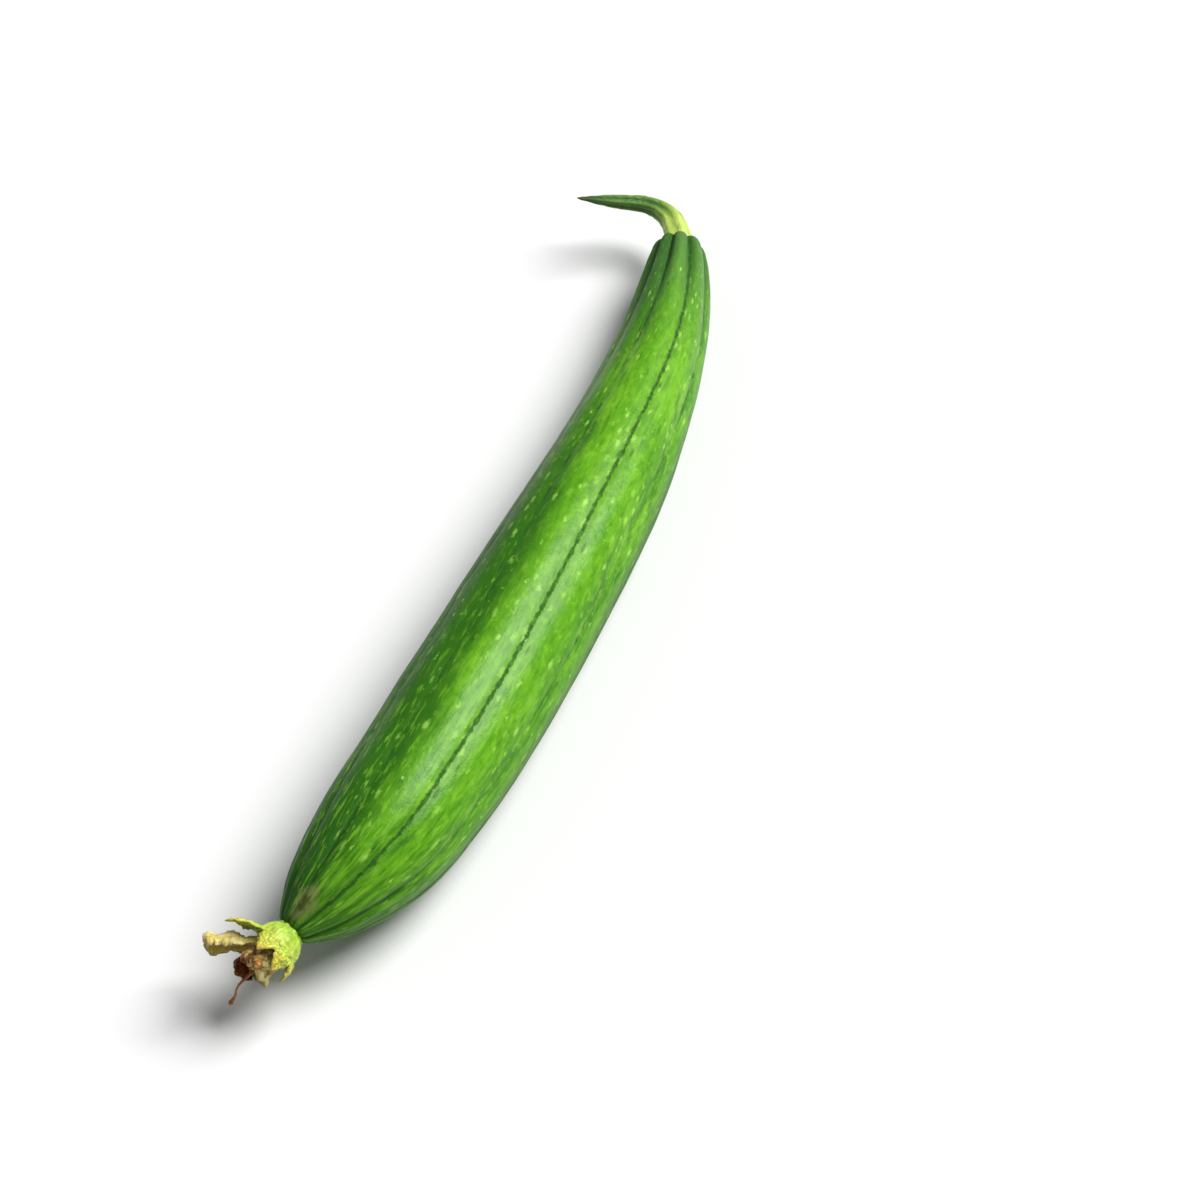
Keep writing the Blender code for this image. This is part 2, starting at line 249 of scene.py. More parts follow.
PETALS = (
    Blade(278.0, 19.5, 6.2, 2.0, (54.0, 54.0, 46.0), 0.0),
    Blade(8.0, 13.0, 5.2, 1.5, (40.0, 8.0, -50.0), -1.0),
    Blade(76.0, 12.5, 4.8, 1.4, (36.0, 11.0, -44.0), 1.0),
    Blade(150.0, 11.5, 5.0, 1.3, (40.0, 14.0, -10.0), 0.0),
    Blade(228.0, 14.5, 5.4, 1.6, (40.0, 14.0, -24.0), 0.0),
)
# How far apart a blade's bumps stand along it and across it (mm).
BUMPS_ALONG = 4.5
BUMPS_ACROSS = 3.2
# The sepals' crumple has the seeds from 0 on, the petals' from here on.
FIRST_PETAL_SEED = 10
# How dried each petal is, from pale straw at 0 or less to dark red at 1, and how dried the other parts are.
PETAL_TONES = (-0.3, 0.5, 0.1, -0.4, 1.05)
CORE_TONE = 0.9
STIGMA_TONE = 1.0
SHRED_TONE = 0.75
# The other parts are coloured like a place between a blade's root at 0 and its tip at 1: the cup and the core
# up to the first share, the stigma and the shred like the second one.
TURNED_ALONG = 0.4
PLAIN_ALONG = 0.3
# How folded a flat place is. A valley has less, and the flower's finishes paint it darker as shade.
FLAT = 0.5
# The shred: points on its way out of the flower, with its radius at each. Its end radii are scaled once more.
SHRED = (
    (-2.0, 0.0, 12.0, 1.0),
    (-3.2, -0.9, 17.0, 0.75),
    (-4.8, -1.6, 20.5, 0.6),
    (-7.4, -1.3, 22.8, 0.65),
    (-9.8, -1.8, 24.8, 1.15),
)
SHRED_STEPS = 60
SHRED_ENDS = {0: 0.6, -2: 0.8, -1: 0.45}
SHRED_SECTION = {"sides": 28, "ribs": 3, "rib_height": 0.16, "lump_depth": 0.25}

# No hair grows this close to the floor (m). How far a hair leans off the surface's normal.
DOWN_LOWEST = 0.0015
HAIR_LEAN = 0.55

# The camera: the point it looks at (mm), the direction back from there, and its distance, lens and sensor
# width (mm). It sees nothing nearer than its clip start (m).
LOOK_AT = (25.3, -11.4, 0.0)
LOOK_BACK = (-0.598, -0.237, 0.766)
CAMERA_DISTANCE = 929.0
LENS = 85.0
SENSOR_WIDTH = 36.0
CLIP_START = 0.01
# Each lamp: its share of the key's strength, the direction towards it, and its width in degrees. The lamps'
# distance is in metres.
LAMPS = {
    "key": (1.0, (0.49, -0.42, 0.76), 36.0),
    "fill": (0.03, (-0.35, 0.75, 0.55), 60.0),
}
LAMP_DISTANCE = 2.0
ROOM_COLOUR = (0.95, 0.98, 1.0)


# Node trees


class Value:
    """A socket of a node tree. Python's operators on it add Math nodes."""

    def __init__(self, tree, socket):
        self.tree = tree
        self.socket = socket

    def __add__(self, other):
        return self.tree.math("ADD", self, other)

    def __sub__(self, other):
        return self.tree.math("SUBTRACT", self, other)

    def __rsub__(self, other):
        return self.tree.math("SUBTRACT", other, self)

    def __mul__(self, other):
        return self.tree.math("MULTIPLY", self, other)

    def __truediv__(self, other):
        return self.tree.math("DIVIDE", self, other)

    def __rtruediv__(self, other):
        return self.tree.math("DIVIDE", other, self)

    def __abs__(self):
        return self.tree.math("ABSOLUTE", self)

    __radd__ = __add__
    __rmul__ = __mul__


class Tree:
    """A node tree, of a material or of a mesh modifier, that is being filled with nodes."""

    def __init__(self, node_tree):
        self.node_tree = node_tree

    @staticmethod
    def pick(sockets, key):
        """The shown socket with that name, or at that place among the shown ones."""
        shown = [socket for socket in sockets if socket.enabled]
        return shown[key] if isinstance(key, int) else next(socket for socket in shown if socket.name == key)

    def node(self, kind, settings=None, values=None, give=0):
        """Adds a node: its settings first, then its sockets' values or links. Gives one of its outputs."""
        made = self.node_tree.nodes.new(kind)
        for name, setting in (settings or {}).items():
            if name == "stops":
                self.set_stops(made.color_ramp, setting)
            else:
                setattr(made, name, setting)
        for name, value in (values or {}).items():
            socket = self.pick(made.inputs, name)
            if isinstance(value, Value):
                self.node_tree.links.new(value.socket, socket)
            elif socket.type == "RGBA":
                socket.default_value = (*value[:3], 1.0)
            else:
                socket.default_value = value
        if not made.outputs:
            return None
        if isinstance(give, tuple):
            return [Value(self, self.pick(made.outputs, name)) for name in give]
        return Value(self, self.pick(made.outputs, give))

    @staticmethod
    def set_stops(ramp, stops):
        """Sets a colour ramp's stops from (position, colour) pairs."""
        while len(ramp.elements) < len(stops):
            ramp.elements.new(0.5)
        for element, (position, colour) in zip(ramp.elements, stops):
            element.position = position
            element.color = (*colour[:3], 1.0)

    def math(self, operation, *values):
        return self.node("ShaderNodeMath", {"operation": operation}, dict(enumerate(values)))

    def vector(self, operation, *values):
        return self.node("ShaderNodeVectorMath", {"operation": operation}, dict(enumerate(values)))

    def split(self, vector):
        return self.node("ShaderNodeSeparateXYZ", values={0: vector}, give=("X", "Y", "Z"))

    def joined(self, x, y, z):
        return self.node("ShaderNodeCombineXYZ", values={0: x, 1: y, 2: z})

    def smooth(self, value, low, high):
        """0 at low, 1 at high, smooth between them."""
        values = {"Value": value, "From Min": low, "From Max": high}
        return self.node("ShaderNodeMapRange", {"interpolation_type": "SMOOTHSTEP"}, values)

    def bell(self, value, width):
        """1 where the value is 0, falling away on both sides, to 0.37 at the width."""
        part = value / width
        return self.math("EXPONENT", part * part * -1.0)

    def largest(self, value, *others):
        for other in others:
            value = self.math("MAXIMUM", value, other)
        return value

    def noise(self, where, scale, detail=2.0, roughness=0.5, give=0):
        values = {"Vector": where, "Scale": scale, "Detail": detail, "Roughness": roughness}
        return self.node("ShaderNodeTexNoise", values=values, give=give)

    def drawn_out(self, where, squeeze, *noise_values):
        """Noise drawn out along Z by squeezing its place there."""
        return self.noise(self.vector("MULTIPLY", where, (1.0, 1.0, squeeze)), *noise_values)

    def cells(self, where, *crowding):
        """Distance to the nearest of scattered points, and three random numbers that each point keeps.

        The crowding on X, Y and Z is how many points lie in a millimetre.
        """
        values = {"Vector": self.vector("MULTIPLY", where, crowding), "Scale": 1.0}
        distance, chance = self.node("ShaderNodeTexVoronoi", values=values, give=("Distance", "Color"))
        return distance, self.split(chance)

    def mix(self, amount, first, second):
        return self.node("ShaderNodeMix", {"data_type": "RGBA"}, {"Factor": amount, "A": first, "B": second})

    def coats(self, colour, *coats):
        """A colour under coats of (amount, tint), laid one after another."""
        for amount, tint in coats:
            colour = self.mix(amount, colour, tint)
        return colour

    def ramp(self, amount, stops):
        return self.node("ShaderNodeValToRGB", {"stops": stops}, {0: amount})

    def attribute(self, name, give="Vector"):
        return self.node("ShaderNodeAttribute", {"attribute_name": name}, give=give)

    def position(self):
        """The place on the object, in millimetres."""
        place = self.node("ShaderNodeTexCoord", give="Object")
        return self.vector("MULTIPLY", place, (1 / MM,) * 3)

    def surface(self, colour, roughness, height, **constants):
        """Ends a material: a Principled shader with a bump whose height is in millimetres."""
        normal = self.node("ShaderNodeBump", values={"Strength": 1.0, "Distance": MM, "Height": height})
        values = {"Base Color": colour, "Roughness": roughness, "Normal": normal}
        values |= {name.replace("_", " "): value for name, value in constants.items()}
        shader = self.node("ShaderNodeBsdfPrincipled", values=values)
        self.node("ShaderNodeOutputMaterial", values={"Surface": shader})


def emptied(owner):
    """The node tree of a material or a world, without its first nodes."""
    owner.use_nodes = True
    owner.node_tree.nodes.clear()
    return Tree(owner.node_tree)


def new_finish(name):
    """An empty node material and its tree."""
    finish = bpy.data.materials.new(name)
    return finish, emptied(finish)


class MeshTree(Tree):
    """A geometry node group with named inputs."""

    def __init__(self, tree_name, inputs):
        super().__init__(bpy.data.node_groups.new(tree_name, "GeometryNodeTree"))
        sockets = self.node_tree.interface
        sockets.new_socket("Geometry", in_out="INPUT", socket_type="NodeSocketGeometry")
        for name, kind in {**inputs, "Finish": "Material"}.items():
            sockets.new_socket(name, in_out="INPUT", socket_type="NodeSocket" + kind)
        sockets.new_socket("Geometry", in_out="OUTPUT", socket_type="NodeSocketGeometry")
        start = self.node_tree.nodes.new("NodeGroupInput")
        self.given = {socket.name: Value(self, socket) for socket in start.outputs if socket.name}

    def stored(self, name, kind="FLOAT"):
        """A named attribute of the mesh."""
        return self.node("GeometryNodeInputNamedAttribute", {"data_type": kind}, {"Name": name})

    def store(self, geometry, name, value, kind="FLOAT"):
        """Keeps a value on the geometry's points under a name."""
        values = {"Geometry": geometry, "Name": name, "Value": value}
        return self.node("GeometryNodeStoreNamedAttribute", {"data_type": kind, "domain": "POINT"}, values)

    def moved(self, geometry, **values):
        """The geometry with its points moved, by Offset or to Position."""
        return self.node("GeometryNodeSetPosition", values={"Geometry": geometry, **values})

    def finish(self, geometry):
        """Ends the tree: real geometry, shaded smooth, in its finish."""
        smooth = self.node("GeometryNodeSetShadeSmooth", values={"Geometry": geometry})
        real = self.node("GeometryNodeRealizeInstances", values={"Geometry": smooth})
        values = {"Geometry": real, "Material": self.given["Finish"]}
        painted = self.node("GeometryNodeSetMaterial", values=values)
        self.node("NodeGroupOutput", values={"Geometry": painted})


def label(name):
    """A setting's name as the trees' inputs show it."""
    return name.replace("_", " ").title()


def grown(base, tree, name, **values):
    """Runs a mesh tree on a base object with these inputs, and gives the result as a plain mesh object."""
    modifier = base.modifiers.new(name, "NODES")
    modifier.node_group = tree.node_tree
    sockets = tree.node_tree.interface.items_tree
    inputs = {socket.name: socket.identifier for socket in sockets if socket.in_out == "INPUT"}
    for setting, value in values.items():
        modifier[inputs[label(setting)]] = value
    bpy.context.view_layer.update()
    evaluated = base.evaluated_get(bpy.context.evaluated_depsgraph_get())
    mesh = bpy.data.meshes.new_from_object(evaluated)
    base.modifiers.remove(modifier)
    bpy.data.objects.remove(base)
    return new_object(name, mesh)


# Meshes and curves


def new_object(name, data, finish=None):
    """An object at the origin, linked to the scene."""
    data.name = name
    obj = bpy.data.objects.new(name, data)
    bpy.context.scene.collection.objects.link(obj)
    if finish:
        data.materials.append(finish)
    return obj


def keep_piece(obj, slot, *nodes):
    """Makes a finished object a piece of the gourd, in the place of these CAD nodes, if any."""
    if len(obj.data.polygons) == 0:
        raise RuntimeError(f"{obj.name} came out empty")
    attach(obj, "root")
    if nodes:
        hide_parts(*nodes)


def smooth_through(rows, where):
    """A smooth curve through rows of (position, values...), read at one or many positions."""
    table = np.array(rows, float)
    knots, values = table[:, 0], table[:, 1:]
    slopes = np.gradient(values, knots, axis=0)
    where = np.clip(np.asarray(where, float), knots[0], knots[-1])
    low = np.clip(np.searchsorted(knots, where, side="right") - 1, 0, len(knots) - 2)
    span = (knots[low + 1] - knots[low])[..., None]
    t = (where - knots[low])[..., None] / span
    return (
        (2 * t**3 - 3 * t**2 + 1) * values[low]
        + (t**3 - 2 * t**2 + t) * span * slopes[low]
        + (3 * t**2 - 2 * t**3) * values[low + 1]
        + (t**3 - t**2) * span * slopes[low + 1]
    )


def fruit_middle(x):
    """Points of the fruit's middle line at these X, unit directions towards the stalk, and radii (mm)."""
    x = np.asarray(x, float)
    rows = smooth_through(FRUIT_SECTIONS, x)
    before = np.maximum(x - SLOPE_STEP, FIRST_X)
    after = np.minimum(x + SLOPE_STEP, FIRST_X + FRUIT_LENGTH)
    change = smooth_through(FRUIT_SECTIONS, after) - smooth_through(FRUIT_SECTIONS, before)
    ahead = np.concatenate(((after - before)[..., None], change[..., :2]), axis=-1)
    ahead /= np.linalg.norm(ahead, axis=-1, keepdims=True)
    return np.concatenate((x[..., None], rows[..., :2]), axis=-1), ahead, rows[..., 2]


def tube_faces(rings, columns):
    """Quads between rings of points that close round, and triangles to the two poles that follow them."""
    around = [(k, (k + 1) % columns) for k in range(columns)]
    last = (rings - 1) * columns
    pole = rings * columns
    faces = []
    for ring in range(0, last, columns):
        faces += [(ring + a, ring + b, ring + columns + b, ring + columns + a) for a, b in around]
    faces += [(b, a, pole) for a, b in around]
    faces += [(last + a, last + b, pole + 1) for a, b in around]
    return faces


def set_attribute(mesh, name, kind, values):
    """Keeps a number or a vector on each point of a mesh."""
    attribute = mesh.attributes.new(name, kind, "POINT")
    field = "vector" if kind == "FLOAT_VECTOR" else "value"
    attribute.data.foreach_set(field, np.asarray(values, float).ravel())


def outward_normals(mesh):
    """Turns all faces of closed shells outwards."""
    shape = bmesh.new()
    shape.from_mesh(mesh)
    bmesh.ops.recalc_face_normals(shape, faces=shape.faces)
    shape.to_mesh(mesh)
    shape.free()


def route_curve(name, points, radii):
    """A poly curve through points (mm), with a radius (mm) at each."""
    curve = bpy.data.curves.new(name, "CURVE")
    curve.dimensions = "3D"
    spline = curve.splines.new("POLY")
    spline.points.add(len(points) - 1)
    for place, point, radius in zip(spline.points, points, radii):
        place.co = (*(Vector(point) * MM), 1.0)
        place.radius = radius
    return new_object(name, curve)


# The fruit


def fruit_base():
    """The fruit without its furrows: a closed mesh that knows where each point grew."""
    even = np.linspace(0.0, 1.0, FRUIT_RINGS)
    crowded = (1 - np.cos(math.pi * even)) / 2
    x = FIRST_X + FRUIT_LENGTH * ((1 - RING_CROWDING) * even + RING_CROWDING * crowded)
    middle, ahead, radius = fruit_middle(x)
    to_end = np.minimum(x - FIRST_X, FIRST_X + FRUIT_LENGTH - x)
    radius = radius * np.sqrt(np.clip(1 - (1 - np.minimum(to_end / END_ROUNDING, 1)) ** 2, 0, 1))
    side = np.cross(ahead, (0.0, 0.0, 1.0))
    side /= np.linalg.norm(side, axis=1, keepdims=True)
    up = np.cross(side, ahead)
    columns = LOBES * COLUMNS_A_LOBE
    lobe = np.arange(columns) / COLUMNS_A_LOBE
    lobe = lobe - COLUMN_CROWDING * np.sin(math.tau * lobe) / math.tau
    angle = np.interp(lobe, range(LOBES + 1), (*LINE_ANGLES, LINE_ANGLES[0] + 360.0))
    twist = smooth_through(LINE_TWIST, x)[:, 0]
    turn = np.radians(angle[None, :] + twist[:, None])[..., None]
    outwards = np.cos(turn) * up[:, None, :] + np.sin(turn) * side[:, None, :]
    points = middle[:, None, :] + radius[:, None, None] * outwards
    growth = np.zeros_like(points)
    growth[..., 0] = GROWTH_RADIUS * np.cos(lobe * math.tau / LOBES)
    growth[..., 1] = GROWTH_RADIUS * np.sin(lobe * math.tau / LOBES)
    growth[..., 2] = (x - FIRST_X)[:, None]

    def closed(rings, first, last):
        """One row for each point: those of the rings between the ends, then the two poles'."""
        return np.vstack((rings[1:-1].reshape(-1, 3), first, last))

    mesh = bpy.data.meshes.new("fruit_base")
    faces = tube_faces(FRUIT_RINGS - 2, columns)
    mesh.from_pydata(closed(points, middle[0], middle[-1]) * MM, [], faces)
    set_attribute(mesh, "growth", "FLOAT_VECTOR", closed(growth, (0, 0, 0), (0, 0, FRUIT_LENGTH)))
    set_attribute(mesh, "outwards", "FLOAT_VECTOR", closed(outwards, -ahead[0], ahead[-1]))
    set_attribute(mesh, "girth", "FLOAT", np.append(np.repeat(radius[1:-1], columns), (0.0, 0.0)))
    outward_normals(mesh)
    return new_object("fruit_base", mesh)


class SkinPlace:
    """Where the skin's points grew: round the fruit counted in lines, along it, and distances on it (mm)."""

    def __init__(self, tree, growth, girth):
        x, y, self.along = tree.split(growth)
        self.to_stalk = FRUIT_LENGTH - self.along
        self.lobe = tree.math("ARCTAN2", y, x) * (LOBES / math.tau)
        nearest = tree.math("ROUND", self.lobe)
        self.line = tree.math("WRAP", nearest, LOBES / 2 + 0.5, 0.5 - LOBES / 2)
        self.lobe_width = girth * (math.tau / LOBES)
        self.off_line = (self.lobe - nearest) * self.lobe_width
        self.to_line = abs(self.off_line)
        self.to_middle = 0.5 * self.lobe_width - self.to_line


def fruit_tree():
    """Furrows along the lines, soft ribs between them and shallow unevenness, all cut into the base."""
    tree = MeshTree("gourd_ribs", {label(name): "Float" for name in RIB_SIZES})
    given = tree.given
    growth = tree.stored("growth", "FLOAT_VECTOR")
    girth = tree.stored("girth")
    at = SkinPlace(tree, growth, girth)
    flower = tree.bell(at.along, FLOWER_FURROWS)
    stalk = tree.bell(at.to_stalk, STALK_FURROWS)
    width = tree.math("MINIMUM", given["Furrow Width"], 0.16 * at.lobe_width)
    size = tree.math("MINIMUM", girth / RIBS_FULL, 1.0)
    line_depth = given["Furrow Depth"] + given["Stalk Depth"] * stalk + given["Flower Depth"] * flower
    wavering = 0.75 + 0.5 * tree.noise(growth, 0.16)
    furrow = line_depth * wavering * tree.bell(at.to_line, width)
    between = given["Between Depth"] * flower * tree.bell(at.to_middle, width)
    swell = given["Rib Swell"] * (1 + 1.5 * stalk) * tree.math("COSINE", at.lobe * math.tau)
    lumps = tree.drawn_out(growth, 0.5, 1.0 / given["Lump Size"], 2.0, 0.45)
    lumps = given["Lump Depth"] * tree.smooth(lumps, 0.25, 0.75)
    depth = size * (furrow + between + swell + lumps)
    offset = tree.vector("SCALE", tree.stored("outwards", "FLOAT_VECTOR"), depth * -MM)
    cut = tree.moved(given["Geometry"], Offset=offset)
    x, y, z = tree.split(tree.node("GeometryNodeInputPosition"))
    tree.finish(tree.moved(cut, Position=tree.joined(x, y, tree.math("MAXIMUM", z, 0.0))))
    return tree


def beaded_lines(tree, at, size):
    """Masks of the dark lines, whole on top of the fruit and broken round it, and of their soft shade."""
    ends = tree.largest(tree.bell(at.to_stalk, 55.0), tree.bell(at.along, 42.0))
    spots = tree.joined(at.line * 7.3, 0.0, at.along)
    beads = tree.noise(spots, 0.34, 3.0, 0.6)
    waver = tree.noise(tree.joined(at.line * 3.1, 40.0, at.along), 0.28, 3.0, 0.6) - 0.5
    broken = tree.smooth(tree.noise(spots, 0.085, 1.0), 0.48, 0.62)
    faint = 0.65 + 0.35 * tree.smooth(tree.noise(spots, 0.24), 0.38, 0.55)
    strength = tree.largest(tree.math("COMPARE", at.line, 0.0, 0.5), broken * 0.7, ends * 0.8)
    off_line = abs(at.off_line + 1.1 * waver)
    half_width = size * (1.9 * beads - 0.62)
    mark = tree.smooth(off_line, half_width + 0.3, half_width - 0.2) * strength * faint
    return mark, tree.bell(off_line, 0.6 * size + 0.05) * strength


def scattered_marks(tree, growth, at, fleck_size, more):
    """Masks of pale flecks, of specks and of dark dashes beside the lines, and how pale each fleck is."""
    distance, (chance, pick, _) = tree.cells(growth, 0.36, 0.36, 0.075)
    dashes = tree.smooth(distance, 0.2 + 0.1 * chance, 0.08) * tree.smooth(pick, 0.45, 0.5)
    dashes = dashes * tree.smooth(at.to_line, 6.0, 2.0)
    jitter = tree.vector("SUBTRACT", tree.noise(growth, 0.9, give="Color"), (0.5, 0.5, 0.5))
    shaken = tree.vector("MULTIPLY_ADD", jitter, (1.2, 1.2, 2.4), growth)
    distance, (chance, pick, _) = tree.cells(shaken, 0.65, 0.65, 0.27)
    specks = tree.smooth(distance, 0.2 + 0.2 * chance, 0.05) * tree.smooth(pick, 0.35, 0.55)
    distance, (chance, pick, paleness) = tree.cells(shaken, 0.42, 0.42, 0.16)
    keep = tree.smooth(pick + 1.1 * tree.drawn_out(growth, 0.12, 0.22, 1.0) + more, 0.75, 0.95)
    reach = fleck_size * (0.18 + 0.3 * chance * chance)
    flecks = tree.smooth(distance, reach * 1.1, reach * 0.25) * keep
    return flecks, specks, dashes, paleness


def scab_reach(tree, at, ragged):
    """How far a point lies from the scab's middle, as a share of the scab's size, with a ragged edge."""
    along = (at.along - SCAB_ALONG[0]) / SCAB_ALONG[1]
    across = (at.lobe - SCAB_ROUND[0]) / SCAB_ROUND[1]
    return tree.math("SQRT", along * along + across * across) + 1.2 * (ragged - 0.5)


def shaded_sides(tree, at, patches, flower_end):
    """Masks of painted shade on the fruit's two sides, partly their own deeper green, whose borders wander
    with the patches.
    """
    border = at.lobe + 0.6 * (patches - 0.5)
    thick_half = tree.smooth(at.along, 210.0, 150.0)
    pale_neck = tree.bell(at.along - 235.0, 45.0)
    one_side_shade = tree.smooth(border - 0.2 * thick_half, -0.65, -1.15) * tree.smooth(at.lobe, -4.0, -3.2)
    other_side_shade = tree.smooth(border, 1.2, 1.9) * tree.smooth(at.lobe, 4.2, 3.4)
    return one_side_shade * (1.0 - 0.5 * pale_neck), other_side_shade * (1.0 - 0.6 * flower_end)


def skin_finish(look):
    """Waxy green skin: mottled and streaked, with beaded dark lines, pale flecks, a dull end and a scab."""
    finish, tree = new_finish("gourd_skin")
    growth = tree.attribute("growth")
    girth = tree.attribute("girth", "Fac")
    at = SkinPlace(tree, growth, girth)
    size = tree.math("MINIMUM", girth / MARKS_FULL, 1.0)
    stalk_end = tree.bell(at.to_stalk, STALK_GREEN)
    flower_end = tree.bell(at.along, FLOWER_GREEN)

    patches = tree.drawn_out(growth, 0.3, 0.12, 3.0, 0.55)
    streaks = tree.drawn_out(growth, 0.16, 0.42, 3.0, 0.55)
    grain = tree.drawn_out(growth, 0.12, 2.2)
    mottle = tree.drawn_out(growth, 0.45, 0.5, 3.0, 0.6)
    wisps = tree.drawn_out(growth, 0.14, 0.85, 2.0, 0.6)
    ragged = tree.noise(growth, 0.55, 3.0, 0.6)
    near_line = tree.bell(at.to_line, 3.4)
    # Painted highlight: a paler band along the top line.
    highlight_band = tree.bell(at.lobe, 0.55) * tree.smooth(streaks, 0.35, 0.6)
    by_flower = 0.15 + 0.5 * tree.bell(at.along, 75.0)

    # Painted shade on the fruit's two sides, partly the skin's own deeper green.
    one_side_shade, other_side_shade = shaded_sides(tree, at, patches, flower_end)
    sides = tree.largest(one_side_shade, other_side_shade)
    # Painted shade: the shaded side at the fruit's two ends.
    shaded_ends = one_side_shade * tree.largest(flower_end, stalk_end)

    line_mark, line_shade = beaded_lines(tree, at, size)
    # The furrows at the ends turn darker: partly their own dark green, partly painted shade in the furrows.
    valley = tree.bell(at.to_line, 2.6 * size) * tree.largest(stalk_end, 0.75 * flower_end)
    between_mark = tree.bell(at.to_middle, 0.8 * size) * tree.smooth(flower_end, 0.25, 0.8)
    more = 0.3 * flower_end - 0.3 * stalk_end
    flecks, specks, dashes, paleness = scattered_marks(tree, growth, at, look.fleck_size / MM, more)
    reach = scab_reach(tree, at, ragged)
    scab = tree.smooth(reach, 1.05, 0.6)

    colour = tree.coats(
        look.body_colour,
        (tree.smooth(patches, 0.42, 0.68) * 0.55, look.light_colour),
        (tree.smooth(streaks + 0.12 * near_line, 0.52, 0.74) * 0.62, look.deep_colour),
        (tree.smooth(grain, 0.55, 0.8) * 0.2, look.deep_colour),
        (tree.smooth(grain, 0.42, 0.2) * 0.18, look.light_colour),
        (tree.smooth(mottle, 0.53, 0.66) * 0.4, look.light_colour),
        (tree.smooth(mottle, 0.47, 0.34) * 0.35, look.deep_colour),
        # The painted highlight along the top line.
        (highlight_band * 0.3, look.light_colour),
        # Painted shade: the sides turn a deeper green, partly their own tone.
        ((one_side_shade + 0.8 * other_side_shade) * look.shade, look.side_shade_colour),
        (stalk_end * 0.75, look.stalk_end_colour),
        (flower_end * (0.05 + 0.45 * tree.smooth(streaks, 0.47, 0.62)), look.deep_colour),
        # Painted shade on the shaded side at both ends, and a dark ring right at the stalk.
        (tree.largest(0.55 * shaded_ends, 0.6 * tree.bell(at.to_stalk, 3.5)), look.line_colour),
        (tree.smooth(wisps, 0.54, 0.66) * by_flower, look.light_colour),
        (tree.smooth(wisps, 0.46, 0.34) * by_flower, look.deep_colour),
        (dashes * 0.6, look.line_colour),
        (specks * 0.5, look.light_colour),
        # The flecks fade on the sides along with their painted shade.
        (flecks * (0.3 + 0.45 * paleness - 0.2 * sides), look.fleck_colour),
        # Darker furrows at the ends, partly painted shade.
        (valley * 0.8, look.line_colour),
        (between_mark * 0.55, look.line_colour),
        (line_shade * 0.35, look.deep_colour),
        (line_mark * 0.92, look.line_colour),
        (scab * 0.75, tree.mix(tree.smooth(reach, 0.55, 0.2), look.scab_colour, look.scab_middle)),
    )
    roughness = look.roughness + 0.14 * (streaks - 0.5) + 0.3 * line_mark + 0.1 * stalk_end
    roughness = roughness + 0.2 * scab + 0.18 * sides
    pores, _ = tree.cells(growth, 1.1, 1.1, 1.1)
    height = 0.035 * grain + 0.02 * tree.smooth(pores, 0.1, 0.5) + 0.18 * tree.noise(growth, 0.3)
    height = height + 0.05 * flecks + 0.03 * specks - 0.16 * line_mark - 0.08 * dashes + 0.14 * scab * ragged
    tree.surface(colour, roughness, height, Specular_IOR_Level=0.13)
    return finish


# The stalk


def stalk_route():
    """Points along the stalk and radii (mm): from inside the fruit, straight out, then along its course."""
    middle, ahead, _ = fruit_middle(FRUIT_SECTIONS[-1][0])
    heading = math.atan2(ahead[1], ahead[0])
    ahead = Vector(ahead)
    distances, turns, rises = zip(*STALK_COURSE)
    point = Vector(middle) + ahead * STALK_GAP
    points = [point - ahead * STALK_SUNK, point - ahead * STALK_SUNK / 2]
    step = STALK_LENGTH / STALK_STEPS
    for k in range(STALK_STEPS + 1):
        points.append(point)
        direction = heading + math.radians(np.interp((k + 0.5) * step, distances, turns))
        rise = np.interp((k + 0.5) * step, distances, rises)
        point = point + Vector((math.cos(direction), math.sin(direction), rise)) * step
    radii = smooth_through(STALK_RADII, np.linspace(0, STALK_LENGTH, STALK_STEPS + 1))[:, 0]
    return points, [*SUNK_RADII, *radii]


def stem_tree():
    """A ribbed, slightly uneven round section swept along a curve whose radii it takes."""
    inputs = {"Sides": "Int", "Ribs": "Int", "Rib Height": "Float", "Lump Depth": "Float"}
    tree = MeshTree("gourd_stem", inputs)
    given = tree.given
    along = tree.node("GeometryNodeSplineParameter", give="Length") / MM
    route = tree.store(given["Geometry"], "along", along)
    values = {"Resolution": given["Sides"], "Radius": MM}
    circle = tree.node("GeometryNodeCurvePrimitiveCircle", values=values)
    place = tree.node("GeometryNodeInputPosition")
    x, y, _ = tree.split(place)
    angle = tree.math("ARCTAN2", y, x)
    circle = tree.store(circle, "around", tree.vector("SCALE", place, 1 / MM), "FLOAT_VECTOR")
    ribbed = 1 + given["Rib Height"] * tree.math("COSINE", angle * given["Ribs"])
    profile = tree.moved(circle, Position=tree.vector("SCALE", place, ribbed))
    radius = tree.node("GeometryNodeInputRadius")
    values = {"Curve": route, "Profile Curve": profile, "Scale": radius, "Fill Caps": True}
    swept = tree.node("GeometryNodeCurveToMesh", values=values)
    where = tree.vector("SCALE", tree.node("GeometryNodeInputPosition"), 1 / MM)
    lumps = tree.smooth(tree.noise(where, 0.45), 0.3, 0.7) * given["Lump Depth"]
    normal = tree.node("GeometryNodeInputNormal")
    tree.finish(tree.moved(swept, Offset=tree.vector("SCALE", normal, lumps * -MM)))
    return tree


